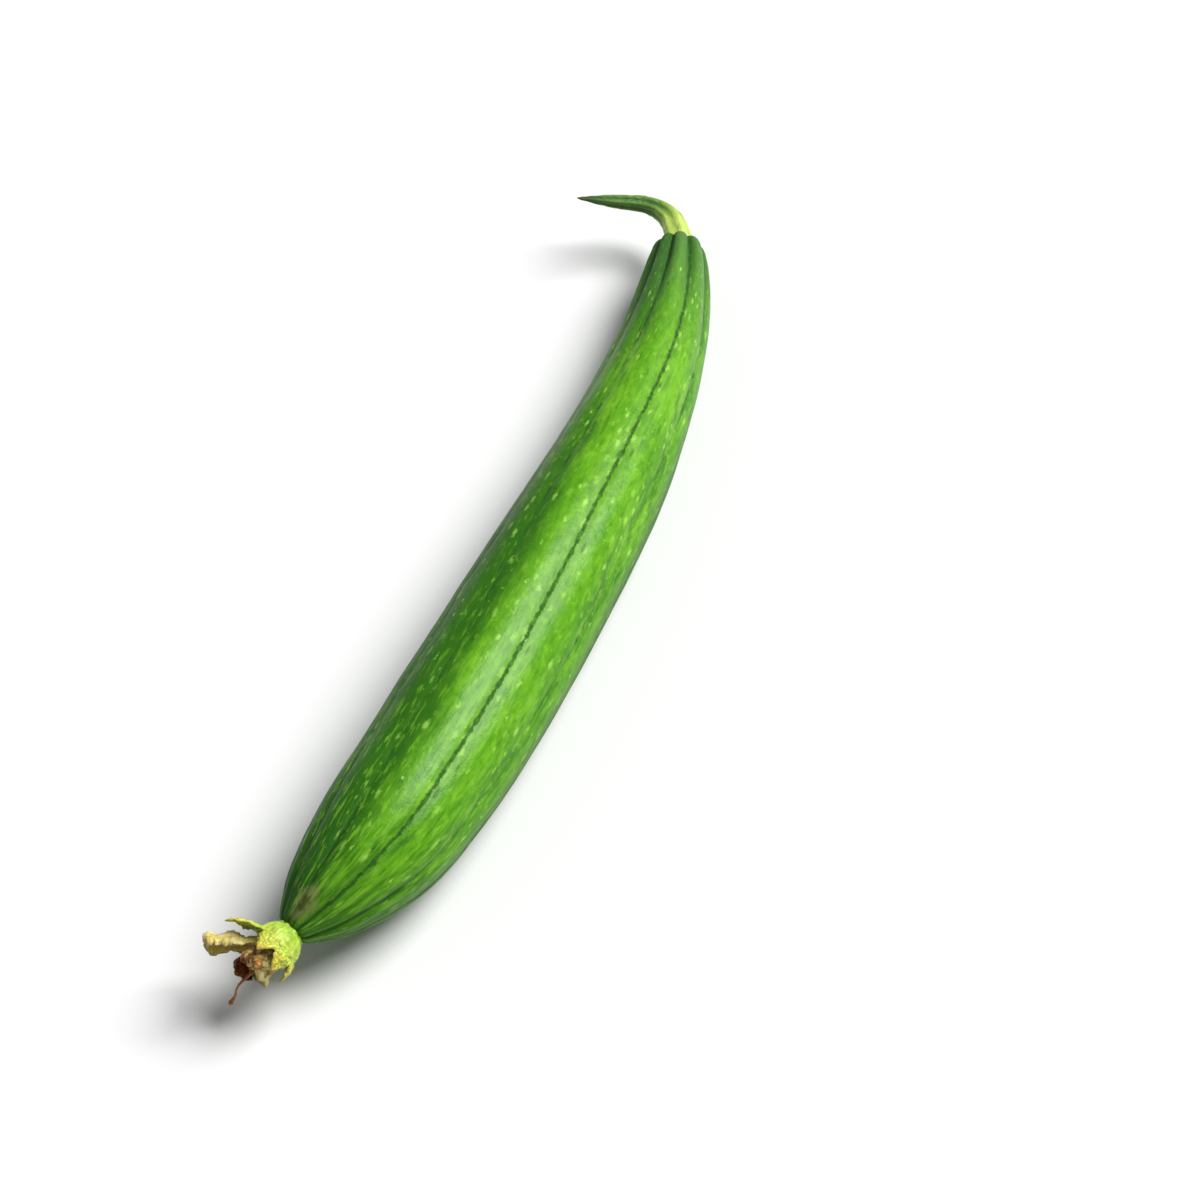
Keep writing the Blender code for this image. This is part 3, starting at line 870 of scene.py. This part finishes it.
def stalk_finish(look):
    """Ribbed stalk: a pale collar, green further on, dull and dark at the dried tip."""
    finish, tree = new_finish("gourd_stalk")
    along = tree.attribute("along", "Fac")
    x, y, _ = tree.split(tree.attribute("around"))
    angle = tree.math("ARCTAN2", y, x)
    ridge = 0.5 + 0.5 * tree.math("COSINE", angle * look.ribs)
    fibres = tree.noise(tree.joined(x * 2.2, y * 2.2, along * 0.12), 3.2, 3.0, 0.6)
    patches = tree.noise(tree.joined(x * 2.0, y * 2.0, along * 0.3), 0.8)
    course = (along + 7.0 * (patches - 0.5) - STALK_SUNK) / STALK_LENGTH
    stops = (
        (0.0, look.collar_colour),
        (0.17, look.collar_colour),
        (0.32, look.bend_colour),
        (0.48, look.stalk_colour),
        (0.78, look.stalk_colour),
        (0.93, look.tip_colour),
        (1.0, look.tip_colour),
    )
    older = tree.smooth(along, 6.0, 26.0)
    dried = tree.smooth(along + 4.0 * (fibres - 0.5), STALK_LENGTH - 3.0, STALK_LENGTH + 1.0)
    colour = tree.coats(
        tree.ramp(course, stops),
        (tree.smooth(ridge, 0.55, 0.1) * (0.25 + 0.5 * older), look.groove_colour),
        (tree.smooth(fibres, 0.58, 0.75) * 0.35, look.groove_colour),
        (tree.smooth(fibres, 0.45, 0.28) * (0.18 + 0.2 * ridge), look.collar_colour),
        (dried * 0.7, look.cut_colour),
    )
    roughness = 0.52 + 0.15 * (fibres - 0.5) + 0.15 * dried
    height = 0.16 * fibres + 0.12 * patches
    tree.surface(colour, roughness, height, Specular_IOR_Level=0.25)
    return finish


# The flower


def flower_place():
    """Where the flower's frame stands (mm): its origin on the fruit's end, its Z along the flower's axis."""
    middle, ahead, _ = fruit_middle(FIRST_X)
    axis = -Vector(ahead)
    across = Vector((0, 0, 1)).cross(axis).normalized()
    upwards = axis.cross(across)
    return Matrix.Translation(Vector(middle)) @ Matrix((upwards, across, axis)).transposed().to_4x4()


class ShellPoint(NamedTuple):
    """A point of the flower (mm), how far along and across its blade it is, how dried and how folded."""

    place: tuple
    along: float
    across: float
    tone: float
    fold: float


class Shells:
    """Closed shells gathered into one mesh, in the flower's frame, with a few numbers kept on each point."""

    def __init__(self):
        self.points = []
        self.faces = []

    def add(self, points, faces):
        """Adds a shell of shell points."""
        start = len(self.points)
        self.points.extend(points)
        self.faces.extend(tuple(start + k for k in face) for face in faces)

    def made(self, name, finish):
        """The mesh object, at its place on the fruit."""
        stand = flower_place()
        places = np.array([stand @ Vector(point.place) for point in self.points])
        mesh = bpy.data.meshes.new(name)
        mesh.from_pydata(places * MM, [], self.faces)
        blade = [(point.along, point.across, point.tone) for point in self.points]
        set_attribute(mesh, "blade", "FLOAT_VECTOR", blade)
        set_attribute(mesh, "fold", "FLOAT", [point.fold for point in self.points])
        outward_normals(mesh)
        mesh.shade_smooth()
        return new_object(name, mesh, finish)


def bumps(spot):
    """Smooth noise at a spot, from about -1 to 1."""
    return noise.noise(Vector(spot))


def blade_point(blade, form, seed, width, t, v):
    """A blade's point off its spine: how far outwards, across and forwards (mm), and its crease there.

    It lies at t from the root at 0 to the tip at 1, and at v from one edge at -1 to the other at 1. The blade
    has frayed edges, rolls across and crumples.
    """
    side = 4.0 * (v > 0)
    tooth = bumps((t * blade.length * 1.1, side, seed * 5.1))
    tooth += 0.6 * bumps((t * blade.length * 3.1, side, seed * 3.3))
    width = width * (1 + form.fray * tooth * abs(v) ** 3 * min(1.0, 4 * t))
    across = width * math.sin(blade.roll * v) / blade.roll
    cup = -width * (1 - math.cos(blade.roll * v)) / blade.roll
    spot = Vector((t * blade.length / BUMPS_ALONG, v * blade.half_width / BUMPS_ACROSS, seed * 7.7))
    past_root = min(1.0, 3 * t)
    wave = bumps(spot) * form.crumple * past_root
    ruffle = bumps(spot + Vector((0, 0, 3.3))) * form.crumple * 0.6 * t
    crease = abs(bumps(spot * 2.6 + Vector((9.1, 0, 0)))) - 0.22
    crease += 0.45 * (abs(bumps(spot * 5.7 + Vector((0, 7.7, 0)))) - 0.22)
    edge = bumps((t * blade.length / 1.7, 3.0 * v, seed * 2.9)) * abs(v) ** 2
    lift = (2.2 * crease + 1.3 * edge) * form.fine * past_root
    end = bumps((v * 3.1, 1.7, seed * 4.3)) * form.fray * 2.4 * t**6
    return cup + wave + lift, across + ruffle + blade.sway * t * t, end, crease


def blade_shell(shells, blade, form, thickness, seed, tone):
    """A thin closed blade, whose spine leans away from Z."""
    steps, columns = form.steps
    around = Matrix.Rotation(math.radians(blade.turn), 3, "Z")
    widths = blade.half_width * smooth_through(form.outline, np.linspace(0, 1, steps + 1))[:, 0]
    spine = Vector((form.root[0], 0, form.root[1]))
    middle, folds = {}, {}
    for i in range(steps + 1):
        t = i / steps
        lean = math.radians(np.interp(t, (0, 0.5, 1), blade.leans))
        outwards = Vector((math.cos(lean), 0, -math.sin(lean)))
        forwards = Vector((math.sin(lean), 0, math.cos(lean)))
        for j in range(columns + 1):
            v = 2 * j / columns - 1
            outward, across, forward, crease = blade_point(blade, form, seed, widths[i], t, v)
            place = spine + outwards * outward + forwards * forward + Vector((0, across, 0))
            middle[i, j] = around @ place
            folds[i, j] = FLAT + 1.1 * crease
        spine = spine + forwards * blade.length / steps
    grid_shell(shells, middle, folds, form, thickness, tone)


def grid_shell(shells, middle, folds, form, thickness, tone):
    """Gives a grid of points a thickness that runs out at its edges, and adds it as a closed shell."""
    steps, columns = form.steps
    index, points = {}, []
    for i in range(steps + 1):
        t = i / steps
        for j in range(columns + 1):
            v = 2 * j / columns - 1
            along = middle[min(i + 1, steps), j] - middle[max(i - 1, 0), j]
            across = middle[i, min(j + 1, columns)] - middle[i, max(j - 1, 0)]
            normal = along.cross(across).normalized()
            ribs = math.exp(-((v / 0.12) ** 2)) + 0.5 * math.exp(-(((abs(v) - 0.5) / 0.08) ** 2))
            taper = (1 - abs(v) ** 5) * (1 - t**10)
            half = 0.5 * (thickness * (1 - 0.45 * t) + form.midrib * ribs * (1 - t)) * taper
            rim = i in (0, steps) or j in (0, columns)
            for face in (1, -1):
                if face == 1 or not rim:
                    place = middle[i, j] + normal * half * (0 if rim else face)
                    points.append(ShellPoint(place, t, v, tone, folds[i, j]))
                index[i, j, face] = len(points) - 1
    faces = []
    for i in range(steps):
        for j in range(columns):
            for face in (1, -1):
                quad = [index[i + a, j + b, face] for a, b in ((0, 0), (1, 0), (1, 1), (0, 1))]
                faces.append(quad if face == 1 else quad[::-1])
    shells.add(points, faces)


def turned_shell(shells, profile, sides, ripple, ripples, tone):
    """A closed turned shape about Z, its profile subdivided, with ripples round it and small unevenness."""
    shares = [k / PROFILE_STEPS for k in range(PROFILE_STEPS)]
    rows = []
    for (h0, r0), (h1, r1) in zip(profile, profile[1:]):
        rows += [(h0 + (h1 - h0) * share, r0 + (r1 - r0) * share) for share in shares]
    low, high = min(h for h, _ in profile), max(h for h, _ in profile)
    points = []
    for height, radius in rows[1:]:
        along = (height - low) / (high - low) * TURNED_ALONG
        for angle in np.arange(sides) * math.tau / sides:
            wave = ripple * math.cos(ripples * angle) * min(1.0, radius / 3.0)
            spot = Vector((radius * math.cos(angle), radius * math.sin(angle), height + 13.0 * tone))
            crease = bumps(spot * 0.8) + 0.5 * bumps(spot * 2.1)
            reach = radius + wave + PROFILE_UNEVEN * crease
            lift = 0.4 * PROFILE_UNEVEN * crease
            place = (reach * math.cos(angle), reach * math.sin(angle), height + lift)
            points.append(ShellPoint(place, along, math.sin(angle * 2.5), tone, FLAT + 0.6 * crease))
    for height, _ in (profile[0], profile[-1]):
        along = (height - low) / (high - low) * TURNED_ALONG
        points.append(ShellPoint((0.0, 0.0, height), along, 0.0, tone, FLAT))
    shells.add(points, tube_faces(len(rows) - 1, sides))


def stigma_shell(shells, angle):
    """One bumpy lobe of the stigma."""
    centre = (math.cos(angle) * STIGMA_REACH, math.sin(angle) * STIGMA_REACH, STIGMA_HEIGHT)
    shape = bmesh.new()
    bmesh.ops.create_icosphere(shape, subdivisions=4, radius=1.0)
    points = []
    for vert in shape.verts:
        spot = vert.co * STIGMA_RADIUS + Vector((9.0 * centre[0], 0, 0))
        bump = bumps(spot * 1.1) + 0.55 * bumps(spot * 3.4)
        place = Vector(centre) + vert.co * (STIGMA_RADIUS + STIGMA_UNEVEN * bump)
        points.append(ShellPoint(place, PLAIN_ALONG, 0.0, STIGMA_TONE, FLAT + 0.6 * bump))
    faces = [[vert.index for vert in face.verts] for face in shape.faces]
    shape.free()
    shells.add(points, faces)


def shred_object(finish):
    """The thin shred that hangs out of the flower and ends in a knot."""
    knots = [(k, *row) for k, row in enumerate(SHRED)]
    rows = smooth_through(knots, np.linspace(0, knots[-1][0], SHRED_STEPS))
    stand = flower_place()
    points = [stand @ Vector(row[:3]) for row in rows]
    radii = [row[3] * (0.82 + 0.25 * bumps((k * 0.35, 0, 0))) for k, row in enumerate(rows)]
    for k, scale in SHRED_ENDS.items():
        radii[k] *= scale
    route = route_curve("shred_route", points, radii)
    shred = grown(route, stem_tree(), "corolla_shred", finish=finish, **SHRED_SECTION)
    count = len(shred.data.vertices)
    set_attribute(shred.data, "blade", "FLOAT_VECTOR", [(PLAIN_ALONG, 0.0, SHRED_TONE)] * count)
    set_attribute(shred.data, "fold", "FLOAT", [FLAT] * count)
    return shred


def calyx_finish(look):
    """Fresh sepals: lime with green veins, yellower and browned towards their tips."""
    finish, tree = new_finish("gourd_calyx")
    along, across, _ = tree.split(tree.attribute("blade"))
    place = tree.position()
    patches = tree.noise(place, 0.35, 3.0, 0.6)
    fine = tree.noise(place, 1.6, 3.0, 0.6)
    ripe = tree.smooth(along + 0.5 * (patches - 0.5), 0.12, 0.5)
    fan = tree.math("COSINE", across * 14.0 + 2.0 * (patches - 0.5))
    veins = tree.smooth(fan, 0.7, 0.98) * 0.5 + tree.bell(across, 0.07) * 0.5
    browned = tree.smooth(along + 0.5 * (fine - 0.5) + 0.25 * abs(across), 0.85, 1.2)
    blots = tree.smooth(tree.noise(place, 0.55, 3.0, 0.65) + 0.25 * along, 0.62, 0.78)
    colour = tree.coats(
        look.sepal_colour,
        (ripe, look.sepal_yellow),
        (tree.smooth(patches, 0.48, 0.7), look.sepal_green),
        (veins * 0.6, look.sepal_green),
        (tree.largest(browned * 0.8, blots * 0.55), look.dry_colour),
        # Painted shade: darker green in the valleys of the folds.
        (tree.smooth(tree.attribute("fold", "Fac"), 0.5, 0.25) * 0.6, look.sepal_green),
    )
    tree.surface(
        colour,
        roughness=0.5 + 0.15 * (fine - 0.5),
        height=0.12 * fine - 0.12 * veins + 0.2 * patches,
        Specular_IOR_Level=0.4,
        Subsurface_Weight=0.12,
        Subsurface_Radius=(0.6, 1.0, 0.2),
        Subsurface_Scale=0.0015,
    )
    return finish


def corolla_finish(look):
    """Withered petals: straw and cream with brown veins, dark red where they have dried or worn, and darker
    in their folds, partly with dried tone and partly with painted shade.
    """
    finish, tree = new_finish("gourd_corolla")
    along, across, dried = tree.split(tree.attribute("blade"))
    fold = tree.attribute("fold", "Fac")
    place = tree.position()
    patches = tree.noise(place, 0.22, 3.0, 0.6)
    blots = tree.noise(place, 0.55, 3.0, 0.65)
    fine = tree.noise(place, 2.6, 3.0, 0.6)
    age = dried + 1.1 * (blots - 0.5) + 0.3 * (fine - 0.5)
    rays = tree.math("COSINE", across * 19.0 + 5.0 * (blots - 0.5))
    veins = tree.smooth(rays, 0.72, 0.97)
    worn = tree.smooth(dried, -0.5, 0.8)
    # Darker in the valleys of the folds: partly dried tone, partly painted shade.
    crease_dryness_and_shade = tree.smooth(fold + 0.4 * (blots - 0.5), 0.42, 0.2)
    rims = tree.smooth(abs(across) + 0.5 * (fine - 0.5) + 0.35 * (blots - 0.5), 0.86, 1.0)
    ends = tree.smooth(along + 0.7 * (blots - 0.5), 0.88, 1.08)
    colour = tree.coats(
        look.straw_colour,
        (tree.smooth(patches, 0.42, 0.6), look.cream_colour),
        (tree.smooth(age, 0.25, 0.6), look.dry_colour),
        (tree.smooth(age, 0.65, 0.95), look.rolled_colour),
        (veins * 0.4, look.dry_colour),
        (crease_dryness_and_shade * (0.3 + 0.35 * worn), look.rolled_colour),
        (tree.largest(rims, ends) * (0.35 + 0.4 * worn), look.rolled_colour),
    )
    tree.surface(
        colour,
        roughness=0.7 + 0.15 * (fine - 0.5),
        height=0.35 * fine + 0.2 * blots - 0.15 * veins,
        Specular_IOR_Level=0.3,
        Subsurface_Weight=0.14,
        Subsurface_Radius=(1.0, 0.7, 0.3),
        Subsurface_Scale=0.002,
    )
    return finish


# Down on the green parts


def down_tree():
    """Short hairs scattered on a surface, leaning off it at random."""
    inputs = {"Density": "Float", "Length": "Float", "Thickness": "Float", "Lowest": "Float", "Seed": "Int"}
    tree = MeshTree("gourd_down", inputs)
    given = tree.given

    def chance(kind, low, high):
        """A random number or vector for each hair."""
        values = {"Min": low, "Max": high, "Seed": given["Seed"]}
        return tree.node("FunctionNodeRandomValue", {"data_type": kind}, values)

    _, _, height = tree.split(tree.node("GeometryNodeInputPosition"))
    values = {"A": height, "B": given["Lowest"]}
    above = tree.node("FunctionNodeCompare", {"operation": "GREATER_THAN"}, values)
    values = {"Mesh": given["Geometry"], "Selection": above}
    values |= {"Density": given["Density"], "Seed": given["Seed"]}
    outputs = ("Points", "Normal")
    points, facing = tree.node("GeometryNodeDistributePointsOnFaces", values=values, give=outputs)
    pointing = tree.vector("ADD", facing, chance("FLOAT_VECTOR", (-HAIR_LEAN,) * 3, (HAIR_LEAN,) * 3))
    rotation = tree.node("FunctionNodeAlignRotationToVector", {"axis": "Z"}, {"Vector": pointing})
    values = {"Vertices": 4, "Radius Top": 0.0, "Radius Bottom": given["Thickness"], "Depth": given["Length"]}
    hair = tree.node("GeometryNodeMeshCone", {"fill_type": "NONE"}, values, give="Mesh")
    size = chance("FLOAT", 0.5, 1.0)
    scale = tree.joined(size, size, size)
    values = {"Points": points, "Instance": hair, "Rotation": rotation, "Scale": scale}
    tree.finish(tree.node("GeometryNodeInstanceOnPoints", values=values))
    return tree


def down_finish(look):
    """Pale green hairs."""
    finish, tree = new_finish("gourd_down")
    tint = tree.noise(tree.position(), 0.8)
    colour = tree.mix(tree.smooth(tint, 0.35, 0.65), look.green_hair, look.pale_hair)
    tree.surface(colour, roughness=0.6 + 0.1 * (tint - 0.5), height=0.05 * tint)
    return finish


# The stage


def floor_object(look):
    """The pale floor, with faint clouds on it."""
    half = look.floor_size / 2
    corners = ((-half, -half, 0), (half, -half, 0), (half, half, 0), (-half, half, 0))
    floor = bpy.data.meshes.new("floor")
    floor.from_pydata(corners, [], [(0, 1, 2, 3)])
    finish, tree = new_finish("pale_floor")
    cloudy = tree.noise(tree.position(), 0.004)
    colour = tree.mix(cloudy * 0.1, look.floor_colour, look.cloud_colour)
    tree.surface(colour, roughness=0.7 + 0.1 * cloudy, height=0.02 * cloudy, Specular_IOR_Level=0.2)
    return new_object("floor", floor, finish)


def soft_room(look):
    """Even light from all sides."""
    world = bpy.data.worlds.new("soft_room")
    tree = emptied(world)
    values = {"Color": ROOM_COLOUR, "Strength": look.world_strength}
    light = tree.node("ShaderNodeBackground", values=values)
    tree.node("ShaderNodeOutputWorld", values={"Surface": light})
    return world


def face_along(obj, direction):
    """Turns a lamp or the camera to face along a direction."""
    obj.rotation_euler = direction.to_track_quat("-Z", "Y").to_euler()


def add_lamp(name, strength, side, width):
    """A sun lamp that shines on the gourd from one side, as soft as its width in degrees."""
    lamp = bpy.data.lights.new(name, "SUN")
    lamp.angle = math.radians(width)
    lamp.energy = strength
    holder = new_object(name, lamp)
    holder.location = Vector(LOOK_AT) * MM + Vector(side).normalized() * LAMP_DISTANCE
    face_along(holder, -Vector(side))


def camera_object():
    """The camera, at its distance from the point that it looks at."""
    target = Vector(LOOK_AT) * MM
    camera = new_object("camera", bpy.data.cameras.new("camera"))
    camera.data.lens = LENS
    camera.data.sensor_width = SENSOR_WIDTH
    camera.data.clip_start = CLIP_START
    camera.location = target + Vector(LOOK_BACK).normalized() * CAMERA_DISTANCE * MM
    face_along(camera, target - camera.location)
    return camera


# Settings a user changes


def colour_property(name, description, default):
    kind = {"subtype": "COLOR", "size": 3, "min": 0.0, "max": 1.0}
    return FloatVectorProperty(name=name, description=description, default=default, **kind)


def number_property(name, description, default, **kind):
    return FloatProperty(name=name, description=description, default=default, min=0.0, **kind)


def length_property(name, description, default):
    return number_property(name, description, default, subtype="DISTANCE", unit="LENGTH", precision=5)


def share_property(name, description, default):
    return number_property(name, description, default, subtype="FACTOR", max=1.0)


class GourdFruitLook(bpy.types.PropertyGroup):
    """Sizes and colours of the fruit's skin."""

    furrow_width: length_property("Furrow Width", "Half width of the furrow along each dark line", 0.0013)
    furrow_depth: length_property("Furrow Depth", "Depth of the furrows at mid fruit", 0.00028)
    stalk_depth: length_property("Stalk End Depth", "Added furrow depth at the stalk end", 0.00095)
    flower_depth: length_property("Flower End Depth", "Added furrow depth at the flower end", 0.00075)
    between_depth: length_property("Between Depth", "Depth of the grooves between the furrows", 0.0006)
    rib_swell: length_property("Rib Swell", "Rise of each rib between two furrows", 0.00022)
    lump_depth: length_property("Lump Depth", "Depth of the skin's shallow unevenness", 0.00035)
    lump_size: length_property("Lump Size", "Distance from one shallow lump to the next", 0.017)
    fleck_size: length_property("Fleck Size", "Size of the pale flecks", 0.001)
    roughness: share_property("Roughness", "Dullness of the waxy skin", 0.32)
    # The sides' deeper green is painted shade, partly the skin's own tone.
    shade: share_property("Deeper Sides", "How much deeper the green of the fruit's sides is", 0.85)
    body_colour: colour_property("Body", "Main green of the skin", (0.075, 0.255, 0.006))
    light_colour: colour_property("Light", "Lighter patches and specks", (0.175, 0.420, 0.022))
    deep_colour: colour_property("Deep", "Darker streaks", (0.022, 0.120, 0.004))
    # Colour of the painted shade on the sides, partly their own deeper green.
    side_shade_colour: colour_property("Sides", "Deeper green of the sides", (0.014, 0.088, 0.003))
    line_colour: colour_property("Lines", "Dark lines and dashes", (0.012, 0.065, 0.005))
    fleck_colour: colour_property("Flecks", "Pale flecks", (0.340, 0.620, 0.090))
    stalk_end_colour: colour_property("Stalk End", "Dull bluish ribs at the stalk end", (0.072, 0.168, 0.044))
    scab_colour: colour_property("Scab", "Small scab by the flower end", (0.165, 0.200, 0.060))
    scab_middle: colour_property("Scab Middle", "Brown middle of the scab", (0.070, 0.060, 0.018))


class GourdStalkLook(bpy.types.PropertyGroup):
    """Sizes and colours of the stalk."""

    sides: IntProperty(name="Sides", description="Points round the stalk", default=90, min=12, max=160)
    ribs: IntProperty(name="Ribs", description="Ribs round the stalk", default=5, min=1, max=9)
    rib_height: share_property("Rib Height", "Height of the ribs as a share of the radius", 0.09)
    lump_depth: length_property("Lump Depth", "Depth of the stalk's unevenness", 0.00018)
    collar_colour: colour_property("Collar", "Pale collar on the fruit", (0.450, 0.600, 0.110))
    bend_colour: colour_property("Bend", "Green of the bend", (0.230, 0.390, 0.060))
    stalk_colour: colour_property("Stalk", "Green beyond the bend", (0.085, 0.205, 0.030))
    groove_colour: colour_property("Grooves", "Grooves between the ribs", (0.030, 0.095, 0.014))
    tip_colour: colour_property("Tip", "Dull tip", (0.060, 0.110, 0.032))
    cut_colour: colour_property("Cut", "Dried end of the tip", (0.100, 0.075, 0.035))


class GourdFlowerLook(bpy.types.PropertyGroup):
    """Sizes and colours of the withered flower."""

    petal_thickness: length_property("Petal Thickness", "Thickness of a withered petal", 0.0004)
    sepal_thickness: length_property("Sepal Thickness", "Thickness of a sepal", 0.0009)
    sepal_colour: colour_property("Sepal", "Lime of the cup and of the sepals' roots", (0.340, 0.520, 0.035))
    sepal_yellow: colour_property("Sepal Yellow", "Yellow of the sepals", (0.620, 0.570, 0.060))
    sepal_green: colour_property("Sepal Green", "Veins and patches of the sepals", (0.220, 0.370, 0.022))
    straw_colour: colour_property("Straw", "Straw of the petals", (0.680, 0.530, 0.130))
    cream_colour: colour_property("Cream", "Palest parts of the petals", (0.800, 0.690, 0.300))
    dry_colour: colour_property("Dry", "Brown veins and blots", (0.330, 0.130, 0.024))
    rolled_colour: colour_property("Rolled", "Dark red of rolled parts and tips", (0.110, 0.022, 0.010))


class GourdDownLook(bpy.types.PropertyGroup):
    """Sizes and colours of the fine down on the stalk and the calyx."""

    length: length_property("Length", "Length of a hair", 0.0006)
    thickness: length_property("Thickness", "Thickness of a hair at its root", 0.00004)
    density: number_property("Density", "Hairs in a square metre", 1.0e6)
    seed: IntProperty(name="Seed", description="Seed of the scattering", default=7, min=0)
    green_hair: colour_property("Green Hair", "The greenest hairs", (0.420, 0.520, 0.260))
    pale_hair: colour_property("Pale Hair", "The palest hairs", (0.620, 0.660, 0.480))


class GourdStageLook(bpy.types.PropertyGroup):
    """Floor and light."""

    floor_size: length_property("Floor Size", "Side of the floor", 24.0)
    floor_colour: colour_property("Floor", "Pale floor", (0.680, 0.680, 0.675))
    cloud_colour: colour_property("Clouds", "Faint clouds on the floor", (0.700, 0.700, 0.700))
    key_strength: number_property("Key", "Strength of the key light, in watts a square metre", 5.25)
    world_strength: number_property("World", "Strength of the even light", 0.22)


LOOKS = {
    "gourd_fruit": GourdFruitLook,
    "gourd_stalk": GourdStalkLook,
    "gourd_flower": GourdFlowerLook,
    "gourd_down": GourdDownLook,
    "gourd_stage": GourdStageLook,
}


# Operators


class GOURD_OT_fruit(bpy.types.Operator):
    """Make the fruit with its ribs and skin"""

    bl_idname = "gourd.fruit"
    bl_label = "Fruit"

    def execute(self, context):
        look = context.scene.gourd_fruit
        sizes = {name: getattr(look, name) / MM for name in RIB_SIZES}
        fruit = grown(fruit_base(), fruit_tree(), "fruit_skin", finish=skin_finish(look), **sizes)
        keep_piece(fruit, "skin", "fruit")
        return {"FINISHED"}


class GOURD_OT_stalk(bpy.types.Operator):
    """Make the bent, ribbed stalk"""

    bl_idname = "gourd.stalk"
    bl_label = "Stalk"

    def execute(self, context):
        look = context.scene.gourd_stalk
        sizes = {name: getattr(look, name) for name in ("sides", "ribs", "rib_height")}
        sizes |= {"lump_depth": look.lump_depth / MM, "finish": stalk_finish(look)}
        stalk = grown(route_curve("stalk_route", *stalk_route()), stem_tree(), "stalk_skin", **sizes)
        keep_piece(stalk, "stalk", "stalk")
        return {"FINISHED"}


class GOURD_OT_calyx(bpy.types.Operator):
    """Make the calyx: its cup and five sepals"""

    bl_idname = "gourd.calyx"
    bl_label = "Calyx"

    def execute(self, context):
        look = context.scene.gourd_flower
        shells = Shells()
        turned_shell(shells, CUP_PROFILE, sides=120, ripple=0.2, ripples=10, tone=0.0)
        for k, sepal in enumerate(SEPALS):
            blade_shell(shells, sepal, SEPAL_FORM, look.sepal_thickness / MM, seed=k, tone=0.0)
        keep_piece(shells.made("calyx_leaves", calyx_finish(look)), "calyx", "calyx")
        return {"FINISHED"}


class GOURD_OT_corolla(bpy.types.Operator):
    """Make the withered corolla: core, stigma, petals and shred"""

    bl_idname = "gourd.corolla"
    bl_label = "Corolla"

    def execute(self, context):
        look = context.scene.gourd_flower
        shells = Shells()
        turned_shell(shells, CORE_PROFILE, sides=60, ripple=0.18, ripples=7, tone=CORE_TONE)
        for k in range(STIGMA_LOBES):
            stigma_shell(shells, math.tau * k / STIGMA_LOBES)
        for k, (petal, tone) in enumerate(zip(PETALS, PETAL_TONES)):
            blade_shell(shells, petal, PETAL_FORM, look.petal_thickness / MM, FIRST_PETAL_SEED + k, tone)
        finish = corolla_finish(look)
        keep_piece(shells.made("corolla_petals", finish), "corolla", "corolla")
        keep_piece(shred_object(finish), "corolla", "corolla")
        return {"FINISHED"}


class GOURD_OT_down(bpy.types.Operator):
    """Scatter fine down on the stalk and the calyx"""

    bl_idname = "gourd.down"
    bl_label = "Down"

    def execute(self, context):
        look = context.scene.gourd_down
        finish = down_finish(look)
        sizes = {name: getattr(look, name) for name in ("density", "length", "thickness", "seed")}
        for host, slot in (("stalk_skin", "stalk"), ("calyx_leaves", "calyx")):
            base = new_object(host + "_base", bpy.data.objects[host].data.copy())
            hairs = grown(base, down_tree(), host + "_down", finish=finish, lowest=DOWN_LOWEST, **sizes)
            keep_piece(hairs, slot)
        return {"FINISHED"}


class GOURD_OT_stage(bpy.types.Operator):
    """Make the pale floor, the soft lights and the camera"""

    bl_idname = "gourd.stage"
    bl_label = "Stage"

    def execute(self, context):
        look = context.scene.gourd_stage
        scene = context.scene
        floor_object(look)
        scene.world = soft_room(look)
        for name, (share, side, width) in LAMPS.items():
            add_lamp(name, look.key_strength * share, side, width)
        scene.camera = camera_object()
        scene.view_settings.view_transform = "Standard"
        return {"FINISHED"}


class GOURD_PT_panel(bpy.types.Panel):
    """Sizes, colours and steps of the sponge gourd"""

    bl_idname = "GOURD_PT_panel"
    bl_label = "Sponge Gourd"
    bl_space_type = "VIEW_3D"
    bl_region_type = "UI"
    bl_category = "Gourd"

    def draw(self, context):
        for name, look in LOOKS.items():
            box = self.layout.box()
            box.label(text=look.__doc__)
            for prop in look.__annotations__:
                box.prop(getattr(context.scene, name), prop)
        for step in STEPS:
            self.layout.operator(step.bl_idname)


STEPS = (GOURD_OT_fruit, GOURD_OT_stalk, GOURD_OT_calyx, GOURD_OT_corolla, GOURD_OT_down, GOURD_OT_stage)


def register():
    for cls in (*LOOKS.values(), *STEPS, GOURD_PT_panel):
        bpy.utils.register_class(cls)
    for name, look in LOOKS.items():
        setattr(bpy.types.Scene, name, PointerProperty(type=look))


def unregister():
    for name in LOOKS:
        delattr(bpy.types.Scene, name)
    for cls in reversed((*LOOKS.values(), *STEPS, GOURD_PT_panel)):
        bpy.utils.unregister_class(cls)


def main():
    register()
    bpy.ops.gourd.fruit()
    bpy.ops.gourd.stalk()
    bpy.ops.gourd.calyx()
    bpy.ops.gourd.corolla()
    bpy.ops.gourd.down()
    bpy.ops.gourd.stage()


if __name__ == "__main__":
    main()
